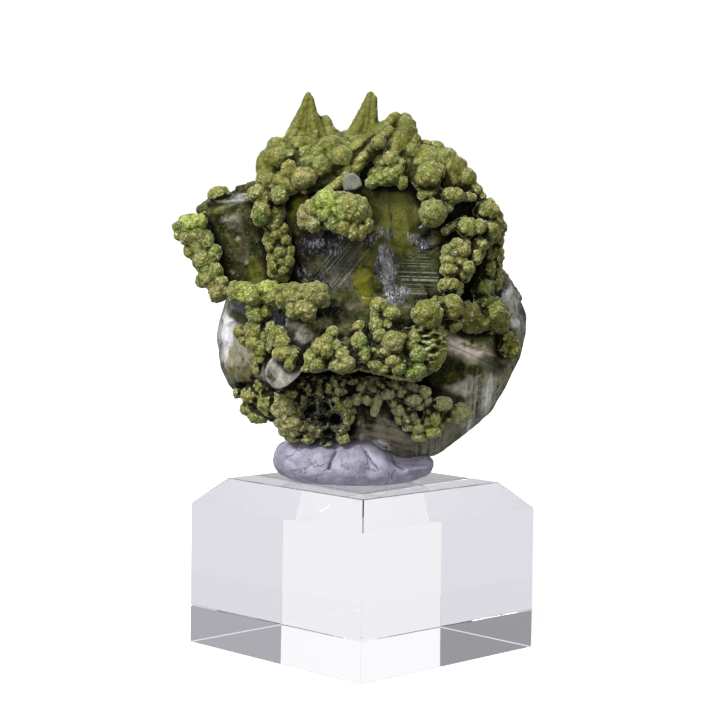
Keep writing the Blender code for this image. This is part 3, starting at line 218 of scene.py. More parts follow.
LEDGE_BODY = (
    (9.6, -14.6, 50.6, 2.1, 2.2), (9.0, -15.0, 47.6, 2.0, 2.0), (7.6, -15.6, 44.9, 1.8, 1.8),
    (4.6, -15.8, 46.0, 2.2, 1.9), (2.0, -15.8, 46.6, 1.9, 1.9), (2.6, -14.6, 50.4, 1.6, 2.4),
    (-0.6, -15.8, 46.2, 1.9, 1.8), (-3.4, -15.8, 45.6, 1.9, 1.6), (-6.6, -15.6, 45.8, 1.9, 1.7),
    (-2.6, -15.0, 47.0, 3.2, 1.8, 1.8), (3.0, -15.2, 48.6, 2.6, 2.2, 1.8),
    (6.8, -15.0, 47.6, 2.6, 3.0, 2.0), (-6.2, -15.4, 47.2, 2.0, 1.8, 1.8),
    (4.6, -16.0, 45.0, 3.6, 1.6, 2.2))
LEDGE_LUMPS = (
    (-5.8, -16.6, 48.2, 1.1, 1.2), (-6.9, -17.0, 47.2, 1.3, 1.4), (-6.0, -17.6, 46.7, 1.1, 1.2),
    (-8.2, -16.8, 45.7, 1.2, 1.3), (-7.3, -17.4, 44.7, 1.1, 1.1), (-8.5, -16.8, 44.5, 0.8, 0.8),
    (-3.4, -17.4, 46.2, 1.3, 1.1), (-2.6, -18.0, 45.0, 1.2, 1.1), (-4.5, -17.8, 44.6, 1.0, 0.9),
    (-3.4, -18.2, 44.3, 1.4, 0.8), (-1.0, -15.8, 50.5, 1.1, 0.9), (-0.9, -16.8, 48.1, 1.2, 1.6),
    (0.0, -17.4, 46.2, 0.9, 1.3), (1.9, -15.8, 53.9, 1.4, 1.3), (3.9, -16.0, 52.7, 1.4, 1.2),
    (1.5, -16.0, 52.4, 0.8, 0.9), (1.6, -16.4, 50.8, 1.1, 1.3), (3.2, -16.2, 50.9, 0.9, 0.9),
    (4.2, -17.4, 48.2, 1.8, 1.7), (3.3, -17.6, 47.0, 1.0, 1.0), (5.3, -17.4, 49.0, 1.0, 0.9),
    (6.8, -16.6, 47.9, 1.1, 1.2), (4.3, -17.8, 45.3, 1.3, 1.0), (5.2, -17.8, 44.3, 1.2, 1.0),
    (1.6, -17.8, 44.6, 1.2, 0.8), (2.8, -17.8, 44.1, 1.0, 0.7), (7.4, -16.8, 49.0, 1.0, 1.2),
    (-5.0, -16.2, 49.6, 1.0, 1.0), (-4.6, -16.8, 47.4, 1.0, 1.1), (2.2, -17.0, 49.2, 1.0, 1.1),
    (8.0, -17.4, 46.4, 1.2, 1.4), (8.3, -17.6, 44.0, 1.3, 1.2), (7.2, -17.6, 43.6, 1.0, 0.9))

LOWER_BODY = (
    (-11.4, -6.2, 38.4, 2.6, 3.6, 3.4), (-10.8, -6.2, 35.6, 2.4, 2.4, 3.4),
    (-7.0, -7.0, 41.4, 3.4, 1.9, 2.6), (-7.6, -6.6, 35.0, 3.2, 1.8, 3.0), (-4.6, -7.0, 34.8, 2.2, 1.7, 2.6),
    (-3.0, -8.0, 41.4, 3.0, 1.8, 2.0), (-3.1, -7.8, 37.8, 1.6, 3.4, 2.0), (-6.0, -6.8, 38.0, 3.0, 3.0, 2.6),
    (1.2, -8.8, 41.4, 3.0, 1.6, 1.6), (5.4, -8.6, 40.8, 3.0, 1.4, 1.6), (-14.6, -3.4, 38.6, 2.0, 2.0, 2.8),
    (-17.2, -1.8, 39.8, 1.8, 1.6, 2.2), (-15.2, -3.0, 41.4, 2.0, 1.8, 2.0))
LOWER_LUMPS = (
    (-12.8, -8.0, 39.6, 1.3, 1.2), (-11.0, -9.0, 40.0, 1.2, 1.1), (-13.2, -7.2, 37.6, 1.2, 1.2),
    (-11.4, -8.8, 37.9, 1.3, 1.2), (-13.0, -6.4, 35.6, 1.0, 1.0), (-11.4, -8.4, 35.8, 1.3, 1.0),
    (-12.2, -6.0, 34.2, 1.0, 0.9), (-9.4, -8.6, 34.8, 1.2, 0.9), (-9.4, -9.2, 39.2, 0.8, 1.2),
    (-8.6, -9.4, 40.8, 0.7, 1.0), (-7.0, -9.6, 40.8, 0.7, 1.0), (-5.6, -9.8, 41.0, 0.7, 0.9),
    (-4.3, -9.6, 38.8, 0.8, 1.2), (-3.5, -10.0, 40.6, 1.1, 0.6), (-2.9, -9.4, 36.8, 0.7, 1.2),
    (-2.6, -9.6, 38.8, 0.9, 0.9), (-3.6, -8.8, 34.6, 0.8, 0.8), (-6.8, -8.8, 34.4, 0.9, 0.8),
    (-1.8, -10.2, 42.0, 0.9, 0.6), (-0.4, -10.4, 41.2, 0.8, 0.6), (1.3, -10.4, 41.0, 0.8, 0.7),
    (-19.5, -1.4, 40.0, 0.8, 0.8), (-17.6, -2.4, 37.6, 1.1, 1.0), (-15.8, -3.2, 36.4, 1.1, 0.9),
    (3.7, -10.2, 40.3, 1.3, 1.0), (5.5, -10.0, 40.5, 0.9, 0.8), (7.3, -9.8, 39.4, 1.5, 1.0),
    (5.6, -9.4, 38.1, 0.9, 1.0), (6.4, -8.8, 36.6, 0.8, 1.3), (8.2, -8.0, 35.2, 1.2, 0.9),
    (12.0, -8.2, 38.8, 1.5, 1.2), (14.6, -7.2, 37.4, 1.8, 1.6), (10.9, -8.2, 36.6, 1.0, 1.2),
    (10.6, -7.6, 34.6, 1.5, 1.1), (9.4, -7.2, 34.4, 1.0, 0.9), (-4.6, -9.4, 41.8, 1.0, 1.0),
    (-1.2, -9.6, 39.6, 0.9, 1.1), (0.4, -9.8, 39.4, 0.9, 0.9), (4.2, -9.8, 41.6, 1.2, 0.9),
    (7.0, -9.4, 41.2, 1.2, 0.9), (9.0, -9.0, 40.6, 1.2, 1.0), (-9.8, -8.8, 41.8, 1.2, 1.0),
    (-7.8, -8.8, 42.2, 1.0, 0.8), (-3.2, -8.8, 33.2, 1.0, 0.8), (-5.8, -8.4, 32.6, 1.0, 0.7),
    (-8.6, -8.0, 33.2, 1.1, 0.8), (-11.0, -7.2, 33.4, 1.2, 0.9), (-16.4, -2.8, 36.6, 1.5, 1.0),
    (-18.0, -2.0, 37.6, 1.2, 1.1))
# Small lumps that fill the clumps below the ledge's right half
SPRIG_LUMPS = (
    (4.4, -9.2, 39.0, 0.9, 0.9), (5.0, -9.0, 37.9, 1.0, 0.9), (6.6, -9.2, 38.3, 1.1, 0.9),
    (8.2, -8.8, 38.6, 1.0, 0.8), (7.1, -8.8, 37.1, 1.0, 1.0), (5.6, -8.6, 36.4, 0.9, 1.0),
    (6.7, -8.4, 35.3, 0.9, 0.8), (7.9, -8.2, 36.2, 0.8, 0.8), (9.8, -7.8, 36.2, 0.9, 1.1),
    (9.9, -7.8, 37.7, 0.8, 0.8), (8.5, -7.2, 33.8, 1.1, 0.8), (11.6, -7.2, 35.6, 0.9, 1.0),
    (13.0, -7.4, 36.6, 0.8, 0.7), (9.4, -8.4, 39.4, 1.0, 0.8))
LOWER_FINGERS = (
    ((2.2, -9.8, 39.8), 0.9, (1.5, -10.0, 37.3), 0.7), ((3.4, -9.2, 40.2), 1.0, (7.4, -9.0, 39.4), 0.9),
    ((5.6, -8.6, 39.2), 0.9, (6.6, -8.0, 36.4), 0.8), ((6.6, -7.8, 36.2), 0.9, (10.4, -6.8, 34.6), 0.9),
    ((10.8, -7.0, 35.0), 0.9, (12.0, -7.4, 38.6), 1.0), ((12.0, -7.2, 38.4), 1.0, (14.6, -6.6, 37.4), 1.2),
    ((-14.0, -4.0, 38.0), 1.3, (-17.8, -1.8, 39.4), 1.2))
# Pits of the dark vug: x, y, z and radius, and their half depth in radii
PIT_DEPTH = 2.4
VUG_PITS = (
    (-8.2, -10.2, 37.4, 1.6), (-6.0, -10.0, 38.2, 1.2), (-4.5, -10.0, 36.0, 1.4), (-6.4, -10.0, 36.0, 1.2),
    (-5.4, -9.4, 33.6, 1.1))

# The back is hidden: a crust of lumps in rows that cover its upper part
BACK_ROWS = (
    (74.2, -11.0, 9.0), (71.4, -14.0, 12.5), (68.4, -16.0, 14.0), (65.4, -14.0, 15.0), (62.2, -10.0, 13.0),
    (59.2, -4.0, 10.5))
BACK_STEP = 3.3
BACK_LUMP = 2.7
BACK_FLAT = 0.95
BACK_DEPTH = 2.3
BEHIND_ALL = 60.0

# How the lumps of the back rise and swell along a row: by how much, a step's turn and a row's turn
BACK_WAVE = (0.9, 2.1, 1.3)
BACK_SIZES = (0.5, 1.7, 2.9)

# Detail of the growths: the grid that their skin is drawn on, and how the plain masses lie under the lumps
SKIN = 0.17
BACK_SKIN = 0.28
MASS_SHARE = 0.96
GRAIN_SIZE = 0.45
GRAIN_HEIGHT = 0.06

# Pairs hold the value where something ends and the value from which it is full.
# A seam is narrow and lies near the skin. Colour patches lie on skin that faces the front.
SEAM_WIDTH = 0.34
SEAM_DEPTH = (0.64, 0.24)
FRONT_TURN = (0.4, -0.1)
FAR = 9.0

# Gaps between lumps and between grains: rounds of smoothing to find them, and the depth of a full gap
BROAD_GAPS = (60, 0.5)
FINE_GAPS = (8, 0.1)

# Painted black shade lies round the pits, by distance in pit sizes, and in hollows of the shaded parts, by
# relief
DEEP_SHADE_REACH = (1.4, 1.0)
DEEP_SHADE_RELIEF = (0.1875, -0.0625)
DEEP_SHADE_LIMIT = 0.95

# A finger is a string of balls: the step between them, how far they stray, and how far its skin reaches.
# Long fingers have flutes: their number, the length they start from, how thin the core is, and where
# they run and how thick they are at the foot and at the tip, in radii.
FINGER_STEP = 0.4
FINGER_PLAY = 0.05
FINGER_SKIN = 0.4
FLUTES = 5
FLUTED_FROM = 5.4
FLUTED_CORE = 0.8
FLUTE_AT = (0.62, 0.3)
FLUTE_SIZE = (0.42, 0.6)

# Noises: size, height and seed. The fingers lack a share of the skin's swellings.
SKIN_SWELLINGS = ((1.9, 0.18, 41), (0.8, 0.09, 41), (0.42, 0.04, 41))
EVEN_ON_FINGERS = 0.75
PATCH_EDGES = ((0.9, 0.45, 31), (0.4, 0.25, 32))
PIT_EDGES = ((0.9, 0.42, 21),)

# Nodules on a lump: share of its size, smallest and largest radius, cover, and how far they stand proud
ON_LUMPS = (0.42, 0.42, 1.0, 0.75, 0.2)
FINE_ON_LUMPS = (0.34, 0.36, 0.6, 0.8, 0.3)
ON_MASSES = (0.32, 0.45, 0.9, 0.5, 0.55)
LOW_ON_MASSES = (0.3, 0.45, 0.9, 0.35, 0.3)
SMALL_ON_MASSES = (0.2, 0.34, 0.55, 0.4, 0.75)
GOLDEN_ANGLE = 2.399963
NODULE_PLAY = 0.25
NODULE_SIZES = (0.6, 1.3)
NODULE_SQUASH = (0.88, 1.12)

# The lip along the ledge's lower edge, and the thin plates stacked at its right end
LIP = (
    (-9.4, 43.9), (-7.5, 43.6), (-5.5, 44.1), (-3.4, 43.6), (-1.0, 44.1), (1.5, 43.7), (4.0, 43.1),
    (5.5, 42.8), (7.0, 42.7), (8.4, 42.7), (9.4, 43.9))
LIP_DEPTH = -17.0
LIP_RADIUS = 0.5
LIP_SIZES = (0.8, 1.15)
LIP_PLAY = 0.2
LIP_STEP = 0.45
LIP_FLAT = 0.85
PLATES = (
    (7.9, 43.4, 1.2), (8.3, 44.5, 1.4), (9.0, 45.5, 1.7), (9.5, 46.5, 1.9), (9.9, 47.5, 2.1),
    (10.1, 48.5, 2.1), (9.9, 49.5, 2.0), (9.4, 50.4, 1.9))
PLATE_HALF = 0.24
PLATE_BEADS = 12
PLATE_BEAD = (0.66, 0.7)
PLATE_SIZES = (0.8, 1.2)
PLATE_ARC = 1.3
PLATE_DEPTH = -15.7
PLATE_BULGE = 1.3
PLATE_WAVE = 0.32
PLATE_WAVES = 4.3
PLATE_CORE = (
    (9.2, -15.8, 46.0, 2.2, 2.8, 1.2), (10.0, -15.8, 49.0, 2.3, 2.2, 1.2),
    (10.9, -15.5, 47.2, 1.5, 3.4, 1.3))

# Colour patches on the growths, as seen from the front: x, z, half width, half height,
# and 1 for lime or 0.5 for green
PATCHES = (
    (-26.4, 66.4, 2.9, 1.7, 1.0), (-18.7, 56.1, 1.5, 0.9, 1.0), (-18.9, 54.8, 1.2, 0.8, 0.9),
    (-15.0, 56.4, 1.4, 1.3, 1.0), (-6.3, 69.4, 2.0, 1.9, 1.0), (-5.2, 67.2, 1.3, 1.4, 0.6),
    (10.9, 36.4, 0.9, 0.9, 0.9), (10.6, 34.6, 1.6, 1.0, 1.0), (8.2, 45.2, 1.4, 2.4, 0.55),
    (9.4, 48.2, 1.8, 1.6, 0.5), (-11.4, 44.6, 1.0, 1.0, 0.6), (-23.2, 61.4, 1.2, 1.4, 0.55),
    (-3.9, 38.6, 0.9, 1.2, 0.75), (-3.0, 36.5, 0.6, 1.6, 0.7), (2.4, 73.2, 1.6, 0.9, 0.7),
    (-0.4, 47.6, 1.3, 1.6, 0.5), (5.6, 43.6, 1.6, 0.8, 0.5), (17.2, 56.4, 1.6, 1.6, 0.5),
    (-17.0, 53.2, 1.4, 1.0, 0.55), (-16.4, 66.8, 1.5, 1.6, 0.5))

# Pale brown granular parts: x, z, half width, half height, share
PALE_BROWN = (
    (3.0, 40.2, 7.5, 2.4, 1.0), (-4.0, 38.6, 1.4, 1.4, 0.8), (7.0, 36.6, 2.6, 2.0, 0.8),
    (-11.2, 37.4, 2.8, 4.0, 0.8), (-9.4, 34.6, 3.0, 1.6, 0.7), (-9.2, 66.8, 1.5, 1.9, 0.8),
    (-8.2, 54.2, 3.0, 2.8, 0.5), (-26.0, 63.0, 1.8, 2.4, 0.5), (-22.6, 56.0, 2.4, 1.8, 0.6),
    (3.9, 47.6, 2.6, 1.8, 0.6), (-9.6, 73.0, 2.0, 1.5, 0.5), (1.6, 37.8, 1.2, 2.2, 0.6),
    (5.8, 38.4, 1.6, 2.4, 0.5), (-3.0, 45.4, 2.4, 1.6, 0.5), (13.6, 62.6, 2.0, 2.0, 0.4))

# Deeper olive parts: x, z, half width, half height, share
DEEPER = (
    (-9.0, 83.0, 3.6, 4.4, 0.8), (-6.0, 80.6, 2.0, 2.4, 0.5), (-0.6, 83.0, 3.6, 4.6, 0.9),
    (5.4, 80.6, 2.6, 3.6, 0.6), (-15.6, 75.4, 2.0, 4.0, 0.7), (14.6, 73.6, 2.6, 3.0, 0.6),
    (9.6, 52.4, 3.0, 3.0, 0.7), (13.2, 54.2, 2.2, 2.2, 0.5), (19.4, 61.0, 1.6, 6.0, 0.5),
    (18.6, 52.4, 3.0, 3.0, 0.6), (22.4, 48.2, 2.2, 2.6, 0.7), (-13.0, 61.4, 2.4, 6.0, 0.6),
    (14.6, 37.4, 2.2, 2.0, 0.7), (3.4, 44.2, 6.0, 1.8, 0.4))

# Values of the crust's material: name, rows, softness of their edges and how ragged they are
COLOURED_PARTS = (
    ("patch", PATCHES, 0.22, 1.0),
    ("deeper", DEEPER, 0.3, 0.6),
    ("brown", PALE_BROWN, 0.4, 0.8))

# Parts of the lower mass, mostly under the ledge, whose hollows are painted black as shade, where only the
# nodules stay pale: x, z, half width, half height
SHADED_HOLLOWS = (
    (-4.0, 41.4, 7.0, 2.4), (4.6, 41.4, 5.4, 1.5), (-8.8, 40.4, 1.8, 2.4), (-8.8, 34.2, 1.6, 0.7),
    (6.8, 37.6, 1.2, 2.2))


# Noise: numbers that scatter the corners of its grid, and the shift from one seed to the next
SCATTER = (73856093, 19349663, 83492791)
SCATTER_AGAIN = 1274126177
SCATTER_LIMIT = 0x7FFFFFFF
LEVELS = 65536
SEED_SHIFT = 17.37
CUBE_CORNERS = [np.array((corner & 1, corner >> 1 & 1, corner >> 2 & 1)) for corner in range(8)]


# Points and numbers

def place(x, y, z):
    reach = (y - EYE[1]) / (READ_Y - EYE[1])
    return Vector((EYE[0] + (x - EYE[0]) * reach, y, EYE[2] + (z - EYE[2]) * reach)) * MM


def seen(points):
    """Where points in metres are seen in the plane READ_Y: x and z in millimetres."""
    points = points / MM
    reach = (READ_Y - EYE[1]) / (points[:, 1] - EYE[1])
    return EYE[0] + (points[:, 0] - EYE[0]) * reach, EYE[2] + (points[:, 2] - EYE[2]) * reach


def corner_share(part, step):
    """How much one corner of a grid cell counts at points in the cell."""
    return np.prod(np.where(step, part, 1 - part), axis=1)


def ramp(values, none, full):
    """0 up to the first bound, 1 from the second one, straight between. It may run either way."""
    return np.clip((values - none) / (full - none), 0, 1)


def noise(points, size, seed):
    """Smooth noise from -1 to 1 at points in metres, with bumps of that size in millimetres."""
    scaled = points / (size * MM) + seed * SEED_SHIFT
    cell = np.floor(scaled).astype(np.int64)
    part = scaled - cell
    part = part * part * (3 - 2 * part)
    total = np.zeros(len(points))
    for step in CUBE_CORNERS:
        key = ((cell + step) * SCATTER).sum(axis=1)
        key = (key ^ (key >> 13)) * SCATTER_AGAIN & SCATTER_LIMIT
        total += corner_share(part, step) * ((key % LEVELS) / ((LEVELS - 1) / 2) - 1)
    return total


def swell(points, rows):
    """Noises added up: rows of size, height and seed."""
    return sum(noise(points, size, seed) * height for size, height, seed in rows)


def ellipse(x, z, row, soft, warp=0.0):
    """1 inside an ellipse of a row x, z, half width, half height, and 0 outside, with a soft edge."""
    reach = np.hypot((x - row[0]) / row[2], (z - row[1]) / row[3]) + warp
    return ramp(reach, 1 + soft, 1 - soft)


def covered(x, z, rows, soft, warp=0.0):
    """The largest share among the ellipses that cover each point. A row may end with its share."""
    share = np.zeros(len(x))
    for row in rows:
        full = row[4] if len(row) > 4 else 1
        share = np.maximum(share, full * ellipse(x, z, row, soft, warp))
    return share


# Meshes

def add_object(name, bm):
    mesh = bpy.data.meshes.new(name)
    bm.to_mesh(mesh)
    bm.free()
    return add_mesh(name, mesh)


def add_mesh(name, mesh):
    made = bpy.data.objects.new(name, mesh)
    bpy.context.scene.collection.objects.link(made)
    return made


def read_points(mesh, name):
    flat = np.empty(len(mesh.vertices) * 3, np.float32)
    mesh.vertices.foreach_get(name, flat)
    return flat.reshape(-1, 3).astype(float)


def corners_of(mesh):
    return read_points(mesh, "co")


def normals_of(mesh):
    return read_points(mesh, "normal")


def set_corners(mesh, points):
    mesh.vertices.foreach_set("co", points.astype(np.float32).ravel())
    mesh.update()


def set_value(mesh, name, values):
    layer = mesh.attributes.new(name, "FLOAT", "POINT")
    layer.data.foreach_set("value", values.astype(np.float32))


def set_tint(mesh, name, colours):
    layer = mesh.attributes.new(name, "FLOAT_COLOR", "POINT")
    rgba = np.concatenate([colours, np.ones((len(colours), 1))], axis=1)
    layer.data.foreach_set("color", rgba.astype(np.float32).ravel())


def settle(target):
    """Turns an object's modifiers into its own mesh."""
    graph = bpy.context.evaluated_depsgraph_get()
    shaped = bpy.data.meshes.new_from_object(target.evaluated_get(graph))
    target.modifiers.clear()
    old = target.data
    target.data = shaped
    bpy.data.meshes.remove(old)


def remesh(target, size):
    skin = target.modifiers.new("Skin", "REMESH")
    skin.mode = "VOXEL"
    skin.voxel_size = size * MM
    settle(target)


def boolean(target, other, operation):
    cut = target.modifiers.new(operation.title(), "BOOLEAN")
    cut.operation = operation
    cut.object = other
    settle(target)
    bpy.data.objects.remove(other, do_unlink=True)


def ball_template():
    bm = bmesh.new()
    bmesh.ops.create_icosphere(bm, subdivisions=2, radius=1.0)
    corners = np.array([v.co for v in bm.verts])
    faces = np.array([[v.index for v in f.verts] for f in bm.faces])
    bm.free()
    return corners, faces


BALL = ball_template()


def balls(name, centres, sizes):
    """One object of many balls: centres and half sizes in metres."""
    corners, faces = BALL
    points = (corners[None] * sizes[:, None] + centres[:, None]).reshape(-1, 3)
    index = (faces[None] + (np.arange(len(centres)) * len(corners))[:, None, None]).reshape(-1, 3)
    mesh = bpy.data.meshes.new(name)
    mesh.vertices.add(len(points))
    mesh.vertices.foreach_set("co", points.astype(np.float32).ravel())
    mesh.loops.add(index.size)
    mesh.loops.foreach_set("vertex_index", index.astype(np.int32).ravel())
    mesh.polygons.add(len(index))
    mesh.polygons.foreach_set("loop_start", np.arange(0, index.size, 3, dtype=np.int32))
    mesh.update(calc_edges=True)
    mesh.validate()
    return add_mesh(name, mesh)


def hull(points):
    bm = bmesh.new()
    made = [bm.verts.new(point) for point in points]
    result = bmesh.ops.convex_hull(bm, input=made)
    spare = result["geom_interior"] + result["geom_unused"]
    unused = {v for v in spare if isinstance(v, bmesh.types.BMVert)}
    bmesh.ops.delete(bm, geom=list(unused), context="VERTS")
    bmesh.ops.recalc_face_normals(bm, faces=bm.faces)
    return bm


def ringed_points(middle, outline, rings):
    points = []
    for y, share in rings:
        for x, z in outline:
            points.append(place(middle[0] + (x - middle[0]) * share, y, middle[1] + (z - middle[1]) * share))
    return points


def bevel(bm, edges, width, segments):
    bmesh.ops.bevel(
        bm, geom=edges, offset=width * MM, offset_type="OFFSET", segments=segments, profile=0.5,
        affect="EDGES", material=-1)


def dress(target, finish):
    target.data.materials.clear()
    target.data.materials.append(finish)
    target.data.shade_smooth()


# The mottramite growths

def lump_rows(lumps):
    """Centres and half sizes, in metres, of rows x, y, z, half width, half height, half depth."""
    centres = np.array([place(*row[:3]) for row in lumps]).reshape(-1, 3)
    sizes = np.array([(row[3], row[5] if len(row) > 5 else (row[3] + row[4]) / 2, row[4]) for row in lumps])
    return centres, sizes.reshape(-1, 3) * MM


def finger_rows(fingers, rng):
    """A finger is a string of balls, a little out of line. Long ones have flutes that meet at the tip."""
    centres, sizes = [], []

    def string(foot, tip, first, last):
        count = max(3, int(np.linalg.norm(tip - foot) / MM / FINGER_STEP))
        for step in range(count + 1):
            share = step / count
            radius = (first + (last - first) * share) * (1 + rng.uniform(-FINGER_PLAY, FINGER_PLAY))
            stray = rng.uniform(-FINGER_PLAY, FINGER_PLAY, 3) * MM
            centres.append(foot + (tip - foot) * share + stray)
            sizes.append(np.full(3, radius * MM))

    for start, start_radius, end, end_radius in fingers:
        foot, tip = np.array(place(*start)), np.array(place(*end))
        length = np.linalg.norm(tip - foot) / MM
        fluted = length > FLUTED_FROM and start_radius > 1
        string(foot, tip, start_radius * (FLUTED_CORE if fluted else 1), end_radius)
        if fluted:
            turn = rng.uniform(0, math.tau)
            for flute in range(FLUTES):
                angle = turn + math.tau * flute / FLUTES
                side = np.array((math.cos(angle), math.sin(angle), 0)) * MM
                string(foot + side * start_radius * FLUTE_AT[0], tip + side * end_radius * FLUTE_AT[1],
                       start_radius * FLUTE_SIZE[0], end_radius * FLUTE_SIZE[1])
    return np.array(centres).reshape(-1, 3), np.array(sizes).reshape(-1, 3)


def nodules(centres, sizes, rng, style):
    """Small balls that sit all round every lump and stand a little proud of it."""
    share, smallest, largest, cover, proud = style
    made_centres, made_sizes = [], []
    for centre, size in zip(centres, sizes):
        mean = size.mean()
        radius = min(max(share * mean, smallest * MM), largest * MM)
        count = int(cover * 4 * mean * mean / (radius * radius)) + 1
        turn = rng.uniform(0, math.tau)
        for step in range(count):
            up = 1 - 2 * (step + 0.5) / count
            side = math.sqrt(1 - up * up)
            angle = turn + step * GOLDEN_ANGLE
            way = np.array((side * math.cos(angle), side * math.sin(angle), up))
            way += rng.uniform(-NODULE_PLAY, NODULE_PLAY, 3)
            way /= np.linalg.norm(way)
            own = radius * rng.uniform(*NODULE_SIZES)
            made_centres.append(centre + way * (size - own * (1 - proud)))
            made_sizes.append(own * rng.uniform(*NODULE_SQUASH, 3))
    return np.array(made_centres).reshape(-1, 3), np.array(made_sizes).reshape(-1, 3)


def lip_rows(rng):
    """The bead along the ledge's lower edge, and the plates at its right end."""
    rows = []
    for (x, z), (next_x, next_z) in zip(LIP, LIP[1:]):
        count = max(1, int(math.hypot(next_x - x, next_z - z) / LIP_STEP))
        for step in range(count):
            share = step / count
            radius = LIP_RADIUS * rng.uniform(*LIP_SIZES)
            rows.append((x + (next_x - x) * share, LIP_DEPTH + rng.uniform(-LIP_PLAY, LIP_PLAY),
                         z + (next_z - z) * share, radius, radius * LIP_FLAT))
    for x, z, half in PLATES:
        turn = rng.uniform(0, math.tau)
        for step in range(PLATE_BEADS):
            angle = math.pi * (step / (PLATE_BEADS - 1) - 0.5) * PLATE_ARC
            wave = PLATE_WAVE * math.sin(angle * PLATE_WAVES + turn)
            rows.append((x + half * math.sin(angle), PLATE_DEPTH - PLATE_BULGE * math.cos(angle), z + wave,
                         PLATE_BEAD[0] * rng.uniform(*PLATE_SIZES), PLATE_HALF, PLATE_BEAD[1]))
    return tuple(rows) + PLATE_CORE


def finger_reach(points, finger):
    """How far points in metres are from a finger's skin, in millimetres."""
    start, start_radius, end, end_radius = finger
    foot, tip = np.array(place(*start)), np.array(place(*end))
    along = np.clip((points - foot) @ (tip - foot) / ((tip - foot) @ (tip - foot)), 0, 1)
    away = np.linalg.norm(points - foot - along[:, None] * (tip - foot), axis=1) / MM
    return away - start_radius - (end_radius - start_radius) * along


def seams(points, lumps, masses, fingers):
    """1 where two lumps meet, and 0 a little way off. The masses count as one lump."""
    first, second = np.full(len(points), FAR), np.full(len(points), FAR)

    def meet(away):
        nonlocal first, second
        second = np.minimum(second, np.maximum(first, away))
        first = np.minimum(first, away)

    def reach(centre, size):
        return (np.linalg.norm((points - centre) / size, axis=1) - 1) * size.mean() / MM

    for centre, size in zip(*lumps):
        meet(reach(centre, size))
    for finger in fingers:
        meet(finger_reach(points, finger))
    if len(masses[0]):
        meet(np.min([reach(centre, size) for centre, size in zip(*masses)], axis=0))
    return ramp(second - first, SEAM_WIDTH, 0) * ramp(first, *SEAM_DEPTH)


def grain(target):
    """Fine crystal points over the whole skin."""
    pattern = bpy.data.textures.new(f"{target.name}_grain", "VORONOI")
    pattern.noise_scale = GRAIN_SIZE * MM
    bumps = target.modifiers.new("Grain", "DISPLACE")
    bumps.texture = pattern
    bumps.texture_coords = "LOCAL"
    bumps.strength = -GRAIN_HEIGHT * MM
    bumps.mid_level = 0.5
    settle(target)


def relief_of(target, steps):
    """How far each point stands out of the smoothed skin, in millimetres."""
    before = corners_of(target.data)
    smooth = target.modifiers.new("Smooth", "SMOOTH")
    smooth.factor = 0.5
    smooth.iterations = steps
    graph = bpy.context.evaluated_depsgraph_get()
    even = target.evaluated_get(graph).to_mesh()
    after = corners_of(even)
    target.evaluated_get(graph).to_mesh_clear()
    target.modifiers.clear()
    return ((before - after) * normals_of(target.data)).sum(axis=1) / MM


def in_pit(points, pit):
    """Points from a pit's middle in shares of its half sizes, then its middle and half sizes in metres."""
    centre = np.array(place(*pit[:3]))
    size = np.array((pit[3], pit[3] * PIT_DEPTH, pit[3])) * MM
    return (points - centre) / size, centre, size


def pit_reach(points, pits):
    """How far points are from the nearest pit's middle: 1 on its wall."""
    nearest = np.full(len(points), FAR)
    uneven = 1 + swell(points, PIT_EDGES)
    for pit in pits:
        away = in_pit(points, pit)[0]
        nearest = np.minimum(nearest, np.linalg.norm(away, axis=1) * uneven)
    return nearest


def carve(target, pits):
    """Presses pits into the front of a skin: points inside one go to its back wall."""
    points = corners_of(target.data)
    uneven = 1 + swell(points, PIT_EDGES)
    for pit in pits:
        away, centre, size = in_pit(points, pit)
        away *= uneven[:, None]
        side = away[:, 0] ** 2 + away[:, 2] ** 2
        inside = (side < 1) & ((away ** 2).sum(axis=1) < 1)
        points[inside, 1] = centre[1] + np.sqrt(1 - side[inside]) * size[1]
    set_corners(target.data, points)


def filled(rows, share, back):
    """The same masses again, a little larger, so that their nodules stand out less."""
    return tuple((row[0], row[1] + back, row[2], *(size * share for size in row[3:])) for row in rows)


def paint_growth(target, lumps, masses, fingers, pits):
    """Values that the crust's material reads: gaps, seams, coloured parts and the painted black shade of the
    pits and hollows.
    """
    mesh = target.data
    points = corners_of(mesh)
    x, z = seen(points)
    broad = relief_of(target, BROAD_GAPS[0])
    fine = relief_of(target, FINE_GAPS[0])
    set_value(mesh, "crevice", np.clip(-broad / BROAD_GAPS[1], -1, 1))
    set_value(mesh, "fine_crevice", np.clip(-fine / FINE_GAPS[1], -1, 1))
    set_value(mesh, "seam", seams(points, lumps, masses, fingers))
    front = ramp(normals_of(mesh)[:, 1], *FRONT_TURN)
    ragged = swell(points, PATCH_EDGES)
    for name, rows, soft, torn in COLOURED_PARTS:
        set_value(mesh, name, covered(x, z, rows, soft, ragged * torn) * front)
    # Painted black shade round the pits and in the hollows of the shaded parts, only on growths with pits
    deep_shade = np.zeros(len(points))
    if pits:
        low = np.minimum(ramp(broad, *DEEP_SHADE_RELIEF), DEEP_SHADE_LIMIT)
        around = ramp(pit_reach(points, pits), *DEEP_SHADE_REACH)
        deep_shade = np.maximum(around, covered(x, z, SHADED_HOLLOWS, 0.25, ragged) * low)
    set_value(mesh, "deep_shade", deep_shade)


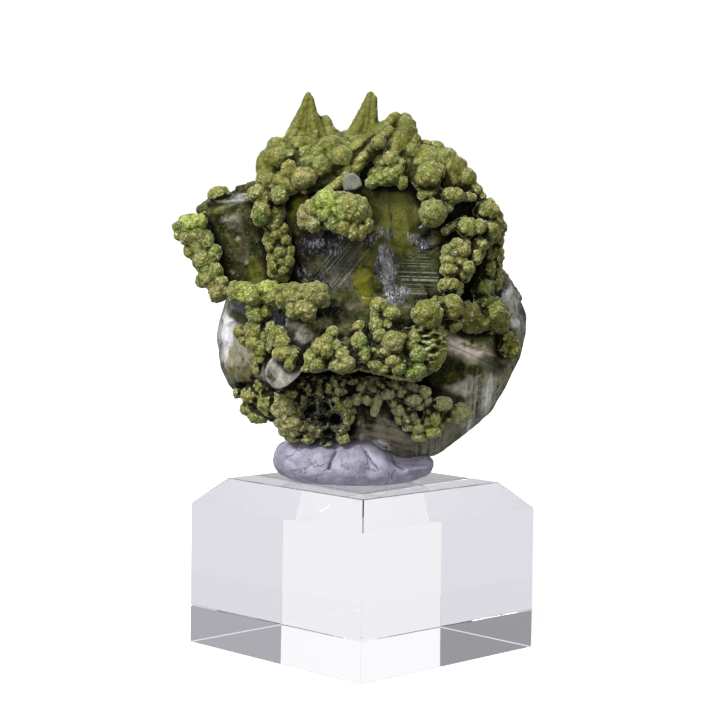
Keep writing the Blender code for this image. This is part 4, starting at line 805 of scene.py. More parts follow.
def growth(name, node, finish, lumps, masses=(), fingers=(), seed=1, extra=(), on_lumps=ON_LUMPS,
           on_masses=ON_MASSES, back=0.35, pits=(), skin=SKIN):
    """One mass of mottramite: lumps, plain masses, fingers and nodules under one skin."""
    rng = np.random.default_rng(seed)
    own_lumps = lump_rows(lumps)
    own_masses = lump_rows(masses)
    own_masses[0][:, 1] += back * MM
    own_masses[1][:] *= MASS_SHARE
    parts = [
        own_lumps, own_masses, finger_rows(fingers, rng), lump_rows(extra),
        nodules(*own_lumps, rng, on_lumps), nodules(*own_masses, rng, on_masses)]
    made = balls(name, np.concatenate([p[0] for p in parts]), np.concatenate([p[1] for p in parts]))
    remesh(made, skin)
    points, out = corners_of(made.data), normals_of(made.data)
    rise = swell(points, SKIN_SWELLINGS)
    for finger in fingers:
        rise *= 1 - EVEN_ON_FINGERS * ramp(finger_reach(points, finger), FINGER_SKIN, 0)
    set_corners(made.data, points + out * (rise * MM)[:, None])
    if pits:
        carve(made, pits)
    grain(made)
    paint_growth(made, own_lumps, own_masses, fingers, pits)
    dress(made, finish)
    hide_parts(node)
    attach(made, "root")
    return made


# Shade in the gaps

SHADE_GRID = 0.4
SHADE_MARGIN = 8
SHADE_REACH = 0.9
SHADE_LIFT = 1.1


def shade_gaps(pieces):
    """Gives every point of the pieces a value that grows with how closely other skin surrounds it."""
    clouds = [corners_of(piece.data) for piece in pieces]
    whole = np.concatenate(clouds)
    cell = SHADE_GRID * MM
    low = whole.min(axis=0) - SHADE_MARGIN * cell
    shape = tuple(int(v) for v in np.ceil((whole.max(axis=0) + SHADE_MARGIN * cell - low) / cell))
    edges = [low[k] + np.arange(shape[k] + 1) * cell for k in range(3)]
    weights = np.concatenate([np.full(len(c), skin_area(p) / len(c)) for p, c in zip(pieces, clouds)])
    dense = np.histogramdd(whole, bins=edges, weights=weights)[0]
    spread = SHADE_REACH / SHADE_GRID
    waves = [np.exp(-2 * (math.pi * spread * np.fft.fftfreq(n)) ** 2) for n in shape[:2]]
    waves.append(np.exp(-2 * (math.pi * spread * np.fft.rfftfreq(shape[2])) ** 2))
    blurred = np.fft.rfftn(dense)
    blurred = blurred * waves[0][:, None, None] * waves[1][None, :, None] * waves[2][None, None, :]
    blurred = np.fft.irfftn(blurred, s=shape)
    flat_wall = cell * cell / (math.sqrt(math.tau) * spread)
    for piece, cloud in zip(pieces, clouds):
        at = (cloud + normals_of(piece.data) * SHADE_LIFT * MM - low) / cell - 0.5
        first = np.floor(at).astype(int)
        part = at - first
        total = np.zeros(len(cloud))
        for step in CUBE_CORNERS:
            x, y, z = (np.clip(first[:, k] + step[k], 0, shape[k] - 1) for k in range(3))
            total += blurred[x, y, z] * corner_share(part, step)
        set_value(piece.data, "shade", total / flat_wall)


def skin_area(piece):
    return sum(face.area for face in piece.data.polygons)


# The calcite

CALCITE_SKIN = 0.31

# Broken faces: spacing, tilt and largest height. They are nearly gone where the calcite is even.
FACETS = ((3.6, 0.2, 0.4), (1.62, 0.2, 0.12))
EVENED = 0.9
SWELLINGS = ((7.0, 0.25, 4), (1.1, 0.03, 6))

# The painted front fades where the skin turns away, over depths behind the front, and sooner far to
# the left. The lines fade where the skin turns away.
VEIL_TURN = (0.6, -1 / 15)
VEIL_DEPTHS = (7.8, -0.2)
FAR_LEFT = -16.0
FAR_LEFT_DEPTHS = (5.0, -1.0)
LINE_TURN = (0.16, -0.24)
VEIL_EDGES = ((1.3, 0.5, 1), (0.6, 0.5, 2))

# The rear: its turn, opacity, the clouds that add to it, and olive parts with their opacity and share
REAR_TURN = -0.2
REAR_VEIL = 0.2
REAR_CLOUDS = ((4.0, 0.15, 3),)
OLIVE_CLOUDS = ((6.0, 1.0, 5),)
OLIVE_BOUNDS = (-0.125, 0.5)
OLIVE_VEIL = 0.45
OLIVE_SHARE = 0.8
LIT_SHARE = 0.85

# Colours in the calcite, as seen: red, green, blue from 0 to 255
SMOKY_OLIVE = (84, 82, 50)
DEEP_OLIVE = (44, 48, 20)
OLIVE = (92, 94, 36)
WING_OLIVE = (50, 54, 18)
WING_GREY = (94, 88, 66)
CLEAR_GREY = (150, 152, 142)
PALE = (222, 222, 224)
LAVENDER = (140, 137, 154)
PINK_WHITE = (188, 174, 162)
DARK = (13, 13, 11)
VIOLET_DARK = (36, 32, 42)

# What the front of the calcite shows: x, z, half width, half height, turn in degrees, colour,
# opacity, raggedness
VEILS = (
    (0, 58, 40, 40, 0, SMOKY_OLIVE, 0.9, 0),
    (0, 70, 17, 8, 0, DEEP_OLIVE, 0.96, 0.3),
    (2, 60, 15, 11, 0, (60, 64, 28), 0.95, 0.3),
    (-19.8, 62.5, 5.4, 7.0, 0, WING_OLIVE, 0.95, 0.3),
    (-20.6, 65.8, 2.6, 1.5, 15, WING_GREY, 0.9, 1.2),
    (-18.6, 61.8, 1.9, 3.0, -10, (92, 84, 64), 0.95, 1.2),
    (-22.3, 65.6, 1.0, 1.6, 10, (28, 33, 5), 0.97, 1.0),
    (-17.2, 62.4, 0.9, 2.4, 0, (34, 39, 8), 0.97, 1.2),
    (-19.8, 64.2, 1.0, 0.6, -20, (30, 34, 8), 0.97, 1.2),
    (-19.2, 59.4, 2.6, 0.9, 8, (32, 36, 8), 0.97, 1.2),
    (-21.4, 59.6, 1.3, 1.8, -30, (30, 34, 10), 0.95, 1.0),
    (-20.8, 63.2, 1.4, 0.8, 10, (44, 48, 18), 0.95, 1.2),
    (-17.0, 65.2, 0.9, 1.6, 0, (40, 44, 14), 0.95, 1.0),
    (-21.6, 66.6, 0.9, 0.4, 25, (150, 148, 132), 0.7, 1.4),
    (-18.4, 60.0, 0.6, 0.4, -20, (140, 134, 118), 0.6, 1.4),
    (-19.6, 63.6, 0.5, 0.5, 30, (128, 122, 100), 0.6, 1.4),
    (-22.6, 61.0, 1.3, 2.6, 15, DEEP_OLIVE, 0.95, 0.4),
    (-19.2, 58.2, 3.4, 1.6, 0, (48, 48, 26), 0.95, 0.5),
    (-16.8, 58.4, 1.8, 2.0, -20, (86, 86, 28), 0.95, 1.4),
    (-20.6, 58.6, 0.7, 0.25, -40, (150, 146, 124), 0.9, 1.4),
    (-23.6, 68.2, 1.9, 1.0, 20, OLIVE, 0.9, 0.3),
    (-20.6, 69.9, 4.2, 0.6, 4, CLEAR_GREY, 0.8, 0.4),
    (-20.4, 69.0, 3.4, 0.2, 5, DARK, 0.9, 0.3),
    (-23.2, 63.2, 0.8, 1.1, 20, DARK, 1, 0.4),
    (-22.1, 61.2, 0.5, 1.0, 20, DARK, 1, 0.4),
    (-19, 52.2, 3.4, 2.4, -30, (70, 70, 48), 0.95, 0.3),
    (-14.2, 51.4, 2.0, 2.0, 0, DARK, 0.9, 0.4),
    (-12.8, 61.5, 2.2, 6.5, 8, DEEP_OLIVE, 0.95, 0.3),
    (-10.6, 68.8, 1.0, 2.4, -25, (112, 110, 30), 1.0, 0.4),
    (-9.4, 67.0, 0.4, 2.6, -25, (60, 62, 16), 1.0, 0.4),
    (-9.4, 60.5, 2.2, 6.0, 0, (30, 26, 22), 0.95, 0.4),
    (-6, 63, 3.6, 2.3, 0, VIOLET_DARK, 0.97, 0.4),
    (-6.6, 57.5, 1.7, 2.4, 0, DARK, 0.97, 0.35),
    (-5.6, 52.3, 2.6, 2.0, 0, DARK, 0.97, 0.35),
    (-2.8, 60.2, 3.4, 4.6, -24, (70, 71, 60), 0.97, 0.35),
    (-0.4, 58.9, 1.2, 2.8, -28, (112, 108, 0), 1.0, 0.5),
    (-0.2, 55.2, 1.2, 1.9, 10, (96, 96, 14), 1.0, 0.6),
    (1.9, 57.6, 0.9, 1.5, 0, (64, 72, 22), 0.95, 0.6),
    (0.6, 63.0, 1.2, 3.2, -14, OLIVE, 0.8, 0.5),
    (-1.4, 53.8, 2.0, 0.9, -20, (80, 75, 62), 0.97, 0.8),
    (-3.4, 50.3, 1.1, 1.9, 0, (96, 92, 30), 0.8, 0.7),
    (-7.4, 50.9, 2.6, 0.9, 8, (84, 88, 30), 0.9, 0.4),
    (4.9, 67.0, 3.1, 5.0, -6, (98, 99, 40), 1.0, 0.2),
    (1.6, 68.8, 1.2, 1.4, 0, (94, 92, 48), 1.0, 0.3),
    (3.6, 67, 0.25, 4.0, 4, DEEP_OLIVE, 0.9, 0.3),
    (6.6, 67.5, 0.7, 3.8, 6, (78, 78, 34), 1.0, 0.3),
    (2.0, 65.2, 0.5, 1.2, -30, CLEAR_GREY, 0.8, 1.4),
    (1.4, 66.6, 0.5, 0.8, -20, (128, 120, 112), 0.6, 1.4),
    (3.2, 59.8, 1.4, 3.8, 6, (92, 94, 90), 0.95, 1.0),
    (2.5, 60.6, 0.22, 2.3, 10, (240, 240, 242), 0.97, 1.2),
    (3.2, 59.2, 0.2, 2.2, 2, PALE, 0.97, 1.3),
    (3.9, 58.6, 0.18, 1.8, -6, (196, 196, 200), 0.97, 1.3),
    (2.9, 57.4, 0.3, 0.5, 30, (250, 250, 252), 0.97, 1.0),
    (4.4, 55.8, 0.5, 0.3, -20, PALE, 0.97, 1.4),
    (4.6, 55.4, 2.2, 1.3, 0, (88, 90, 98), 0.8, 1.3),
    (8.0, 58.7, 3.0, 3.2, 0, (66, 70, 44), 0.97, 0.12),
    (9.2, 63.6, 2.0, 1.6, 0, (24, 26, 24), 0.95, 0.4),
    # Painted shade: black in the deep gaps beside the crown and the bank
    (12.0, 67.8, 6.0, 1.3, 28, DARK, 1, 0.2),
    (17.8, 61, 1.2, 3.6, 3, DARK, 1, 0.25),
    (16.8, 56.2, 2.0, 1.8, 0, DARK, 0.95, 0.4),
    (19.6, 57.2, 1.6, 1.8, -10, (84, 86, 44), 0.95, 0.3),
    (8.6, 54.8, 1.4, 1.0, 0, DARK, 0.95, 0.4),
    (7.2, 50.8, 1.7, 1.4, 0, DARK, 0.97, 0.3),
    (22.9, 52.5, 2.4, 7.4, -6, (172, 173, 162), 0.94, 0.3),
    (21.6, 56.0, 0.7, 1.3, -30, PALE, 0.95, 0.6),
    (22.9, 55.0, 0.6, 1.0, -20, (196, 197, 190), 0.95, 0.9),
    (22.6, 51.4, 0.9, 0.8, 10, (232, 233, 228), 0.97, 0.8),
    (22.2, 49.8, 1.2, 1.0, 0, (152, 154, 130), 0.95, 0.6),
    (24.1, 53.3, 0.5, 0.6, 0, (50, 52, 44), 0.9, 0.2),
    (19.6, 42.6, 4.6, 6.4, -24, (184, 182, 146), 0.94, 0.2),
    (16.4, 46.7, 5.6, 1.6, -22, (196, 184, 154), 0.97, 0.4),
    (15.4, 47.3, 4.4, 1.0, -20, (250, 232, 220), 0.97, 0.45),
    (14.4, 47.9, 1.6, 0.4, -24, (255, 250, 244), 0.97, 0.6),
    (16.6, 47.6, 2.6, 0.2, -16, (150, 140, 80), 0.97, 0.6),
    (18.4, 45.6, 1.8, 0.25, -26, (214, 206, 190), 0.97, 0.5),
    (17.5, 48.7, 4.0, 0.35, -14, OLIVE, 0.9, 0.8),
    (21.4, 48.0, 2.6, 2.0, -30, (78, 76, 34), 0.95, 0.4),
    (12.6, 43.6, 3.6, 2.6, 0, (38, 41, 14), 0.97, 0.35),
    (19.4, 44.8, 2.4, 1.4, -30, SMOKY_OLIVE, 0.9, 0.3),
    (14.6, 44.5, 0.7, 0.7, 0, DARK, 1, 0.3),
    (16.8, 44.1, 1.3, 1.0, 0, (54, 62, 26), 0.95, 0.15),
    (17.6, 43.1, 0.3, 0.3, 0, PALE, 0.95, 0.4),
    (16.6, 42.7, 1.0, 0.4, 0, LAVENDER, 0.97, 0.4),
    (18.3, 42.7, 1.1, 0.9, 0, (122, 114, 34), 0.95, 0.2),
    (13.5, 43.0, 1.2, 0.8, 0, (58, 60, 16), 0.97, 0.3),
    (14.4, 40.6, 3.2, 1.6, 10, (196, 192, 172), 0.95, 0.4),
    (13.6, 41.6, 1.2, 0.3, 24, (168, 164, 150), 0.97, 1.6),
    (17.4, 38.5, 3.6, 4.6, -22, (212, 209, 188), 0.95, 0.3),
    # Painted light: white bands where light comes through the clear crystal, with thin lines beside them
    (19.0, 40.2, 0.5, 3.0, -7, (255, 255, 252), 1.0, 0.12),
    (19.9, 40.8, 0.16, 2.2, -8, (210, 208, 196), 0.95, 0.12),
    (18.0, 39.4, 0.14, 2.4, -7, (226, 222, 210), 0.95, 0.12),
    (17.2, 38.2, 0.2, 1.8, -7, (70, 70, 50), 0.9, 0.12),
    (16.2, 35.4, 0.42, 1.7, -7, (255, 255, 250), 1.0, 0.12),
    (15.2, 34.8, 0.14, 1.3, -7, (210, 206, 192), 0.95, 0.12),
    (9.4, 31.8, 0.3, 2.0, -8, (222, 214, 202), 0.95, 0.15),
    (8.3, 32.0, 0.16, 1.8, -8, (190, 182, 170), 0.9, 0.15),
    (3.4, 34.0, 4.6, 3.4, 0, (146, 136, 118), 0.97, 0.2),
    (11.6, 33.4, 3.8, 3.2, 0, (146, 143, 120), 0.95, 0.3),
    (2.9, 32.4, 1.6, 0.9, -10, (120, 104, 108), 0.7, 0.4),
    (3.8, 37.4, 1.0, 2.0, 0, (104, 98, 88), 0.85, 0.3),
    (0.8, 36.6, 1.0, 2.2, 0, (40, 30, 20), 0.95, 0.4),
    (-0.85, 36.6, 0.32, 1.9, -6, PINK_WHITE, 0.97, 0.15),
    (-0.35, 33.6, 0.28, 1.9, -10, PINK_WHITE, 0.9, 0.2),
    (-2.2, 34.2, 1.3, 3.2, 0, DARK, 0.9, 0.4),
    # Painted shadow: black under the ledge
    (2, 41.6, 9.5, 2.4, -4, DARK, 1, 0.1),
    (-2, 43.4, 9.0, 1.2, 0, DARK, 1, 0.1),
    (-21.0, 48.4, 3.0, 6.8, -2, (196, 196, 194), 0.97, 0.2),
    (-21.2, 50.4, 1.7, 2.8, -4, (232, 230, 234), 1.0, 0.4),
    # Painted highlight on the milky left rear of the calcite
    (-21.0, 51.2, 0.9, 1.6, 0, (255, 255, 255), 0.95, 0.4),
    (-20.2, 44.8, 1.6, 2.2, -14, (170, 164, 142), 0.97, 0.6),
    (-21.4, 46.0, 0.5, 1.6, -14, (240, 238, 236), 0.97, 0.6),
    (-19.6, 49.0, 0.7, 1.0, -14, (168, 170, 158), 0.97, 0.8),
    (-19.4, 45.4, 1.4, 2.2, -14, (164, 159, 138), 0.97, 1.2),
    (-18.4, 44.4, 1.8, 2.0, -14, (150, 145, 120), 0.97, 1.4),
    (-18.0, 42.6, 1.6, 1.6, -14, (112, 106, 70), 0.97, 1.2),
    (-20.6, 42.6, 1.0, 1.6, -24, (116, 112, 76), 0.97, 0.8),
    (-19.6, 51.8, 3.2, 0.8, -32, (96, 96, 70), 0.97, 0.2),
    (-19.3, 41.2, 0.6, 0.6, -30, DARK, 1, 0.3),
    (-17.6, 39.6, 0.8, 1.6, -24, DARK, 0.97, 0.4),
    (-12.2, 43.4, 3.8, 3.6, 0, (196, 186, 178), 0.6, 0.15),
    (-10.6, 43.6, 1.3, 1.6, 24, PINK_WHITE, 0.7, 0.3),
    (-14.3, 43.0, 0.9, 1.3, 10, (100, 106, 92), 0.7, 0.3),
    (-10.3, 49.3, 2.9, 1.5, -28, (150, 146, 136), 0.75, 0.3),
    (-8.6, 46.9, 1.0, 1.2, 0, (70, 66, 50), 0.9, 0.3),
    (-13, 51.3, 1.0, 0.7, -20, (150, 150, 178), 0.9, 0.4))

# Fine lines on the calcite: x, z, half width, half height, turn in degrees, spacing, depth and strength
LINES = (
    (8.0, 58.4, 3.0, 3.4, -1, 0.4, 0.08, 1.0),
    (-3.0, 60.2, 3.2, 4.6, 52, 0.24, 0.05, 0.7),
    (17.6, 38.8, 3.8, 5.0, 88, 0.8, 0.08, 0.9),
    (10.4, 33.0, 3.4, 3.4, 86, 0.8, 0.08, 0.8),
    (3.6, 33.6, 4.0, 2.8, -12, 0.9, 0.06, 0.55),
    (-10.4, 49.3, 2.6, 1.6, 58, 0.5, 0.05, 0.7),
    (16.4, 46.8, 5.0, 1.4, -24, 0.7, 0.06, 0.5),
    (23.0, 46.0, 1.6, 3.0, 76, 0.9, 0.08, 0.4))

# Shattered, glittering parts: x, z, half width, half height, turn
SHATTER = (
    (3.2, 59.6, 1.2, 4.0, 4), (4.6, 55.8, 1.7, 1.1, -20), (-13.0, 51.3, 1.1, 0.8, -20),
    (7.2, 64.2, 1.4, 0.6, -20), (8.6, 62.9, 0.8, 0.6, 30), (-7.6, 63.2, 1.2, 0.6, 0),
    (-5.0, 62.3, 0.9, 0.6, 0), (-3.9, 64.2, 0.8, 0.5, 0), (0.8, 63.9, 0.7, 0.6, 0),
    (-10.0, 58.8, 0.6, 0.4, 0))

# Parts of the back that let light through: x, z, half width, half height
CLEAR_BACK = ((20.5, 44.0, 6.5, 15.0), (-22.0, 48.0, 4.0, 9.0))

# Parts of the calcite without broken faces: x, z, half width, half height
EVEN_PARTS = (
    (-12.2, 43.8, 4.4, 4.4), (-21.0, 48.5, 4.5, 8.5), (-19.6, 62.6, 5.6, 7.4), (5.0, 67.4, 3.4, 4.6),
    (18.5, 44.0, 8.0, 14.0), (8.0, 33.0, 9.0, 4.5), (8.0, 58.6, 3.4, 3.6))


def colour(red, green, blue):
    """A colour as seen, turned into the light that a shader works with."""
    shares = np.array((red, green, blue)) / 255
    return np.where(shares < 0.04045, shares / 12.92, ((shares + 0.055) / 1.055) ** 2.4)


def turned(x, z, row):
    """x and z turned about a row's middle, so that its half width lies along the row's own turn."""
    angle = math.radians(row[4])
    flat, up = x - row[0], z - row[1]
    return (row[0] + flat * math.cos(angle) + up * math.sin(angle),
            row[1] - flat * math.sin(angle) + up * math.cos(angle))


def facets(points, rng, spacing, tilt, limit):
    """Heights, in metres, of a broken surface: each cell is a flat face with its own tilt."""
    low, high = points.min(axis=0), points.max(axis=0)
    count = int(np.prod(high - low) / (spacing * MM) ** 3) + 1
    seeds = rng.uniform(low, high, (count, 3))
    tilts = rng.normal(0, 1, (count, 3)) * tilt
    tree = KDTree(count)
    for index, seed in enumerate(seeds):
        tree.insert(seed, index)
    tree.balance()
    near = np.array([tree.find(point)[1] for point in points])
    return np.clip(((points - seeds[near]) * tilts[near]).sum(axis=1), -limit * MM, limit * MM)


def calcite_blank(name):
    shapes = (
        ringed_points(LENS_MIDDLE, LENS_OUTLINE, LENS_RINGS),
        ringed_points(WING_MIDDLE, WING_OUTLINE, WING_RINGS),
        ringed_points(CORE_MIDDLE, CORE_OUTLINE, CORE_RINGS),
        [place(*corner) for corner in FOOT_CORNERS],
        ringed_points(CHIP_MIDDLE, CHIP_RIM, CHIP_RINGS))
    whole = add_object(name, hull(shapes[0]))
    for index, shape in enumerate(shapes[1:]):
        boolean(whole, add_object(f"{name}_{index}", hull(shape)), "UNION")
    return whole


def paint_calcite(target):
    mesh = target.data
    points, out = corners_of(mesh), normals_of(mesh)
    x, z = seen(points)
    depth = points[:, 1] / MM
    rear = out[:, 1] > REAR_TURN
    front = ramp(out[:, 1], *VEIL_TURN) * ramp(depth, *VEIL_DEPTHS)
    far_left = points[:, 0] < FAR_LEFT * MM
    front[far_left] *= ramp(depth[far_left], *FAR_LEFT_DEPTHS)
    ragged = swell(points, VEIL_EDGES)
    olive = ramp(swell(points, OLIVE_CLOUDS), *OLIVE_BOUNDS) * rear
    tint = np.tile(colour(*CLEAR_GREY), (len(points), 1))
    tint += (colour(*DEEP_OLIVE) - tint) * olive[:, None] * OLIVE_SHARE
    veil = REAR_VEIL + np.maximum(swell(points, REAR_CLOUDS), 0) + OLIVE_VEIL * olive
    veil *= 1 - LIT_SHARE * covered(x, z, CLEAR_BACK, 0.35) * rear
    for row in VEILS:
        inside = ellipse(*turned(x, z, row), row, 0.22, ragged * row[7]) * front
        tint += (colour(*row[5]) - tint) * inside[:, None]
        veil += (row[6] - veil) * inside
    set_tint(mesh, "veil_colour", tint)
    set_value(mesh, "veil", veil)
    phase, share, glitter = np.zeros(len(points)), np.zeros(len(points)), np.zeros(len(points))
    for row in LINES:
        turned_x, across = turned(x, z, row)
        shape = (row[3], row[2]) if abs(row[4]) > 45 else row[2:4]
        inside = ellipse(turned_x, across, (*row[:2], *shape), 0.3, ragged * 0.4)
        phase = np.where(inside > share, across / row[5], phase)
        share = np.maximum(share, inside * row[7])
    for row in SHATTER:
        glitter = np.maximum(glitter, ellipse(*turned(x, z, row), row, 0.4, ragged * 1.1))
    set_value(mesh, "line_phase", phase)
    set_value(mesh, "line_share", share * front)
    set_value(mesh, "shatter", glitter * front)


def score_lines(points, out):
    """Depths, in metres, of the fine parallel growth lines."""
    x, z = seen(points)
    front = ramp(out[:, 1], *LINE_TURN)
    depth = np.zeros(len(points))
    for row in LINES:
        _, across = turned(x, z, row)
        wave = np.sin(across * math.tau / (row[5] * 1.6))
        depth += wave * (0.6 + 0.4 * noise(points, 1.4, 9)) * row[6] * ellipse(x, z, row, 0.25) * front
    return depth * MM


def make_calcite(finish):
    made = calcite_blank("calcite")
    remesh(made, CALCITE_SKIN)
    mesh = made.data
    points, out = corners_of(mesh), normals_of(mesh)
    rng = np.random.default_rng(7)
    height = sum(facets(points, rng, *row) for row in FACETS)
    height *= 1 - EVENED * covered(*seen(points), EVEN_PARTS, 0.15)
    height += swell(points, SWELLINGS) * MM
    set_corners(mesh, points + out * (height + score_lines(points, out))[:, None])
    paint_calcite(made)
    dress(made, finish)
    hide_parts("calcite_crystals")
    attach(made, "root")
    return made


def make_small_crystal(finish):
    bm = hull(ringed_points(GEM_MIDDLE, GEM_OUTLINE, GEM_RINGS))
    bevel(bm, bm.edges[:], GEM_EDGE, 2)
    made = add_object("small_crystal", bm)
    made.data.materials.append(finish)
    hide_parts("small_calcite_crystal")
    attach(made, "root")


# The putty and the block

PUTTY_SKIN = 0.3
OVAL_SQUARE = 0.62
OVAL_FLAT = 0.8

# The lens presses the putty down: how far, over which places across and from rear to front
PRESSED = 3.0
PRESSED_ACROSS = (0.5, 5.5)
PRESSED_DEPTHS = (3.0, -3.0)
PRESS_START = 1.3
PRESS_TOP = 0.6

# The surface: dents, heights above the block where they begin, gaps as for the growths, and creases
# with start, end and depth
PUTTY_DENTS = ((3.6, 0.34, 11), (1.6, 0.12, 14), (0.8, 0.04, 12))
DENTS_FROM = (0.3, 0.9)
PUTTY_GAPS = (25, 0.2)
PUTTY_CREASES = (
    (-4.4, 31.5, -5.3, 28.5, 0.5), (0.3, 31.5, 2.2, 28.5, 0.4), (4.8, 30.0, 6.5, 28.5, 0.35),
    (-9.0, 30.6, -7.6, 28.2, 0.18), (-12.2, 30.2, -10.6, 29.0, 0.15), (-2.4, 30.6, -1.6, 28.6, 0.2),
    (-7.4, 29.6, -4.8, 30.6, 0.16))
CREASE_WIDTH = 0.28
CREASE_PLAY = 0.12


def make_putty(finish, calcite_shape):
    bm = bmesh.new()
    bmesh.ops.create_uvsphere(bm, u_segments=120, v_segments=60, radius=1.0)
    made = add_object("putty", bm)
    round_points = corners_of(made.data)
    flat = np.maximum(np.hypot(round_points[:, 0], round_points[:, 1]), 1e-6)
    bulge = flat ** OVAL_SQUARE / flat
    rise = round_points[:, 2]
    x = PUTTY_MIDDLE[0] + round_points[:, 0] * bulge * PUTTY_HALF[0]
    fold = np.zeros(len(x))
    for at, lean in PUTTY_FOLDS:
        fold += np.exp(-((x - at + lean * (rise + 1)) / FOLD_WIDTH) ** 2)
    y = PUTTY_MIDDLE[1] + round_points[:, 1] * bulge * (PUTTY_HALF[1] - FOLD_DEPTH * 0.6 * fold)
    z = PUTTY_MIDDLE[2] + np.sign(rise) * np.abs(rise) ** OVAL_FLAT * PUTTY_HALF[2]
    z -= np.maximum(0, rise) * (x - PUTTY_MIDDLE[0]) * PUTTY_SAG_RIGHT
    under_lens = ramp(x, *PRESSED_ACROSS) ** PRESS_START * ramp(y, *PRESSED_DEPTHS)
    z -= np.maximum(0, rise) ** PRESS_TOP * PRESSED * under_lens
    points = np.stack((x, y, np.maximum(z, BLOCK_HEIGHT + 0.02)), axis=1) * MM
    set_corners(made.data, points)
    remesh(made, PUTTY_SKIN)
    boolean(made, calcite_shape, "DIFFERENCE")
    remesh(made, PUTTY_SKIN)
    points, out = corners_of(made.data), normals_of(made.data)
    x, z = seen(points)
    depth = swell(points, PUTTY_DENTS)
    for start_x, start_z, end_x, end_z, deep in PUTTY_CREASES:
        along = np.clip(((x - start_x) * (end_x - start_x) + (z - start_z) * (end_z - start_z))
                        / ((end_x - start_x) ** 2 + (end_z - start_z) ** 2), 0, 1)
        away = np.hypot(x - start_x - along * (end_x - start_x), z - start_z - along * (end_z - start_z))
        away += CREASE_PLAY * noise(points, 0.8, 13)
        depth -= deep * np.exp(-(away / CREASE_WIDTH) ** 2) * (out[:, 1] < 0.2)
    lift = ramp(points[:, 2] / MM - BLOCK_HEIGHT, *DENTS_FROM)
    set_corners(made.data, points + out * (depth * lift * MM)[:, None])
    set_value(made.data, "crevice", np.clip(-relief_of(made, PUTTY_GAPS[0]) / PUTTY_GAPS[1], -1, 1))
    dress(made, finish)
    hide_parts("mounting_putty")
    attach(made, "root")


def make_block(finish):
    bm = bmesh.new()
    bmesh.ops.create_cube(bm, size=1.0)
    size = Matrix.Diagonal((BLOCK_SIDE * MM, BLOCK_SIDE * MM, BLOCK_HEIGHT * MM, 1.0))
    lift = Matrix.Translation((0, 0, BLOCK_HEIGHT * MM / 2))
    bm.transform(Matrix.Rotation(BLOCK_TURN, 4, "Z") @ lift @ size)
    rim = [e for e in bm.edges if all(v.co.z > BLOCK_HEIGHT * MM * 0.9 for v in e.verts)]
    bevel(bm, rim, BLOCK_CHAMFER, 1)
    bevel(bm, bm.edges[:], BLOCK_EDGE, 2)
    made = add_object("block", bm)
    made.data.materials.append(finish)
    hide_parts("clear_block")
    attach(made, "root")


# Shader maths

class Wire:
    """A socket of a material. Sums and products of wires add Math nodes."""

    def __init__(self, finish, socket):
        self.finish = finish
        self.socket = socket

    def __add__(self, other):
        return self.finish.maths("ADD", self, other)

    __radd__ = __add__

    def __sub__(self, other):
        return self.finish.maths("SUBTRACT", self, other)

    def __rsub__(self, other):
        return self.finish.maths("SUBTRACT", other, self)

    def __mul__(self, other):
        return self.finish.maths("MULTIPLY", self, other)

    __rmul__ = __mul__

    def kept(self):
        """Held between 0 and 1."""
        return self.finish.node("ShaderNodeClamp", {}, {"Value": self})

    def over(self, low, high):
        """0 below low, 1 above high, smooth between."""
        return self.finish.node(
            "ShaderNodeMapRange", {"interpolation_type": "SMOOTHSTEP"},
            {"Value": self, "From Min": low, "From Max": high})


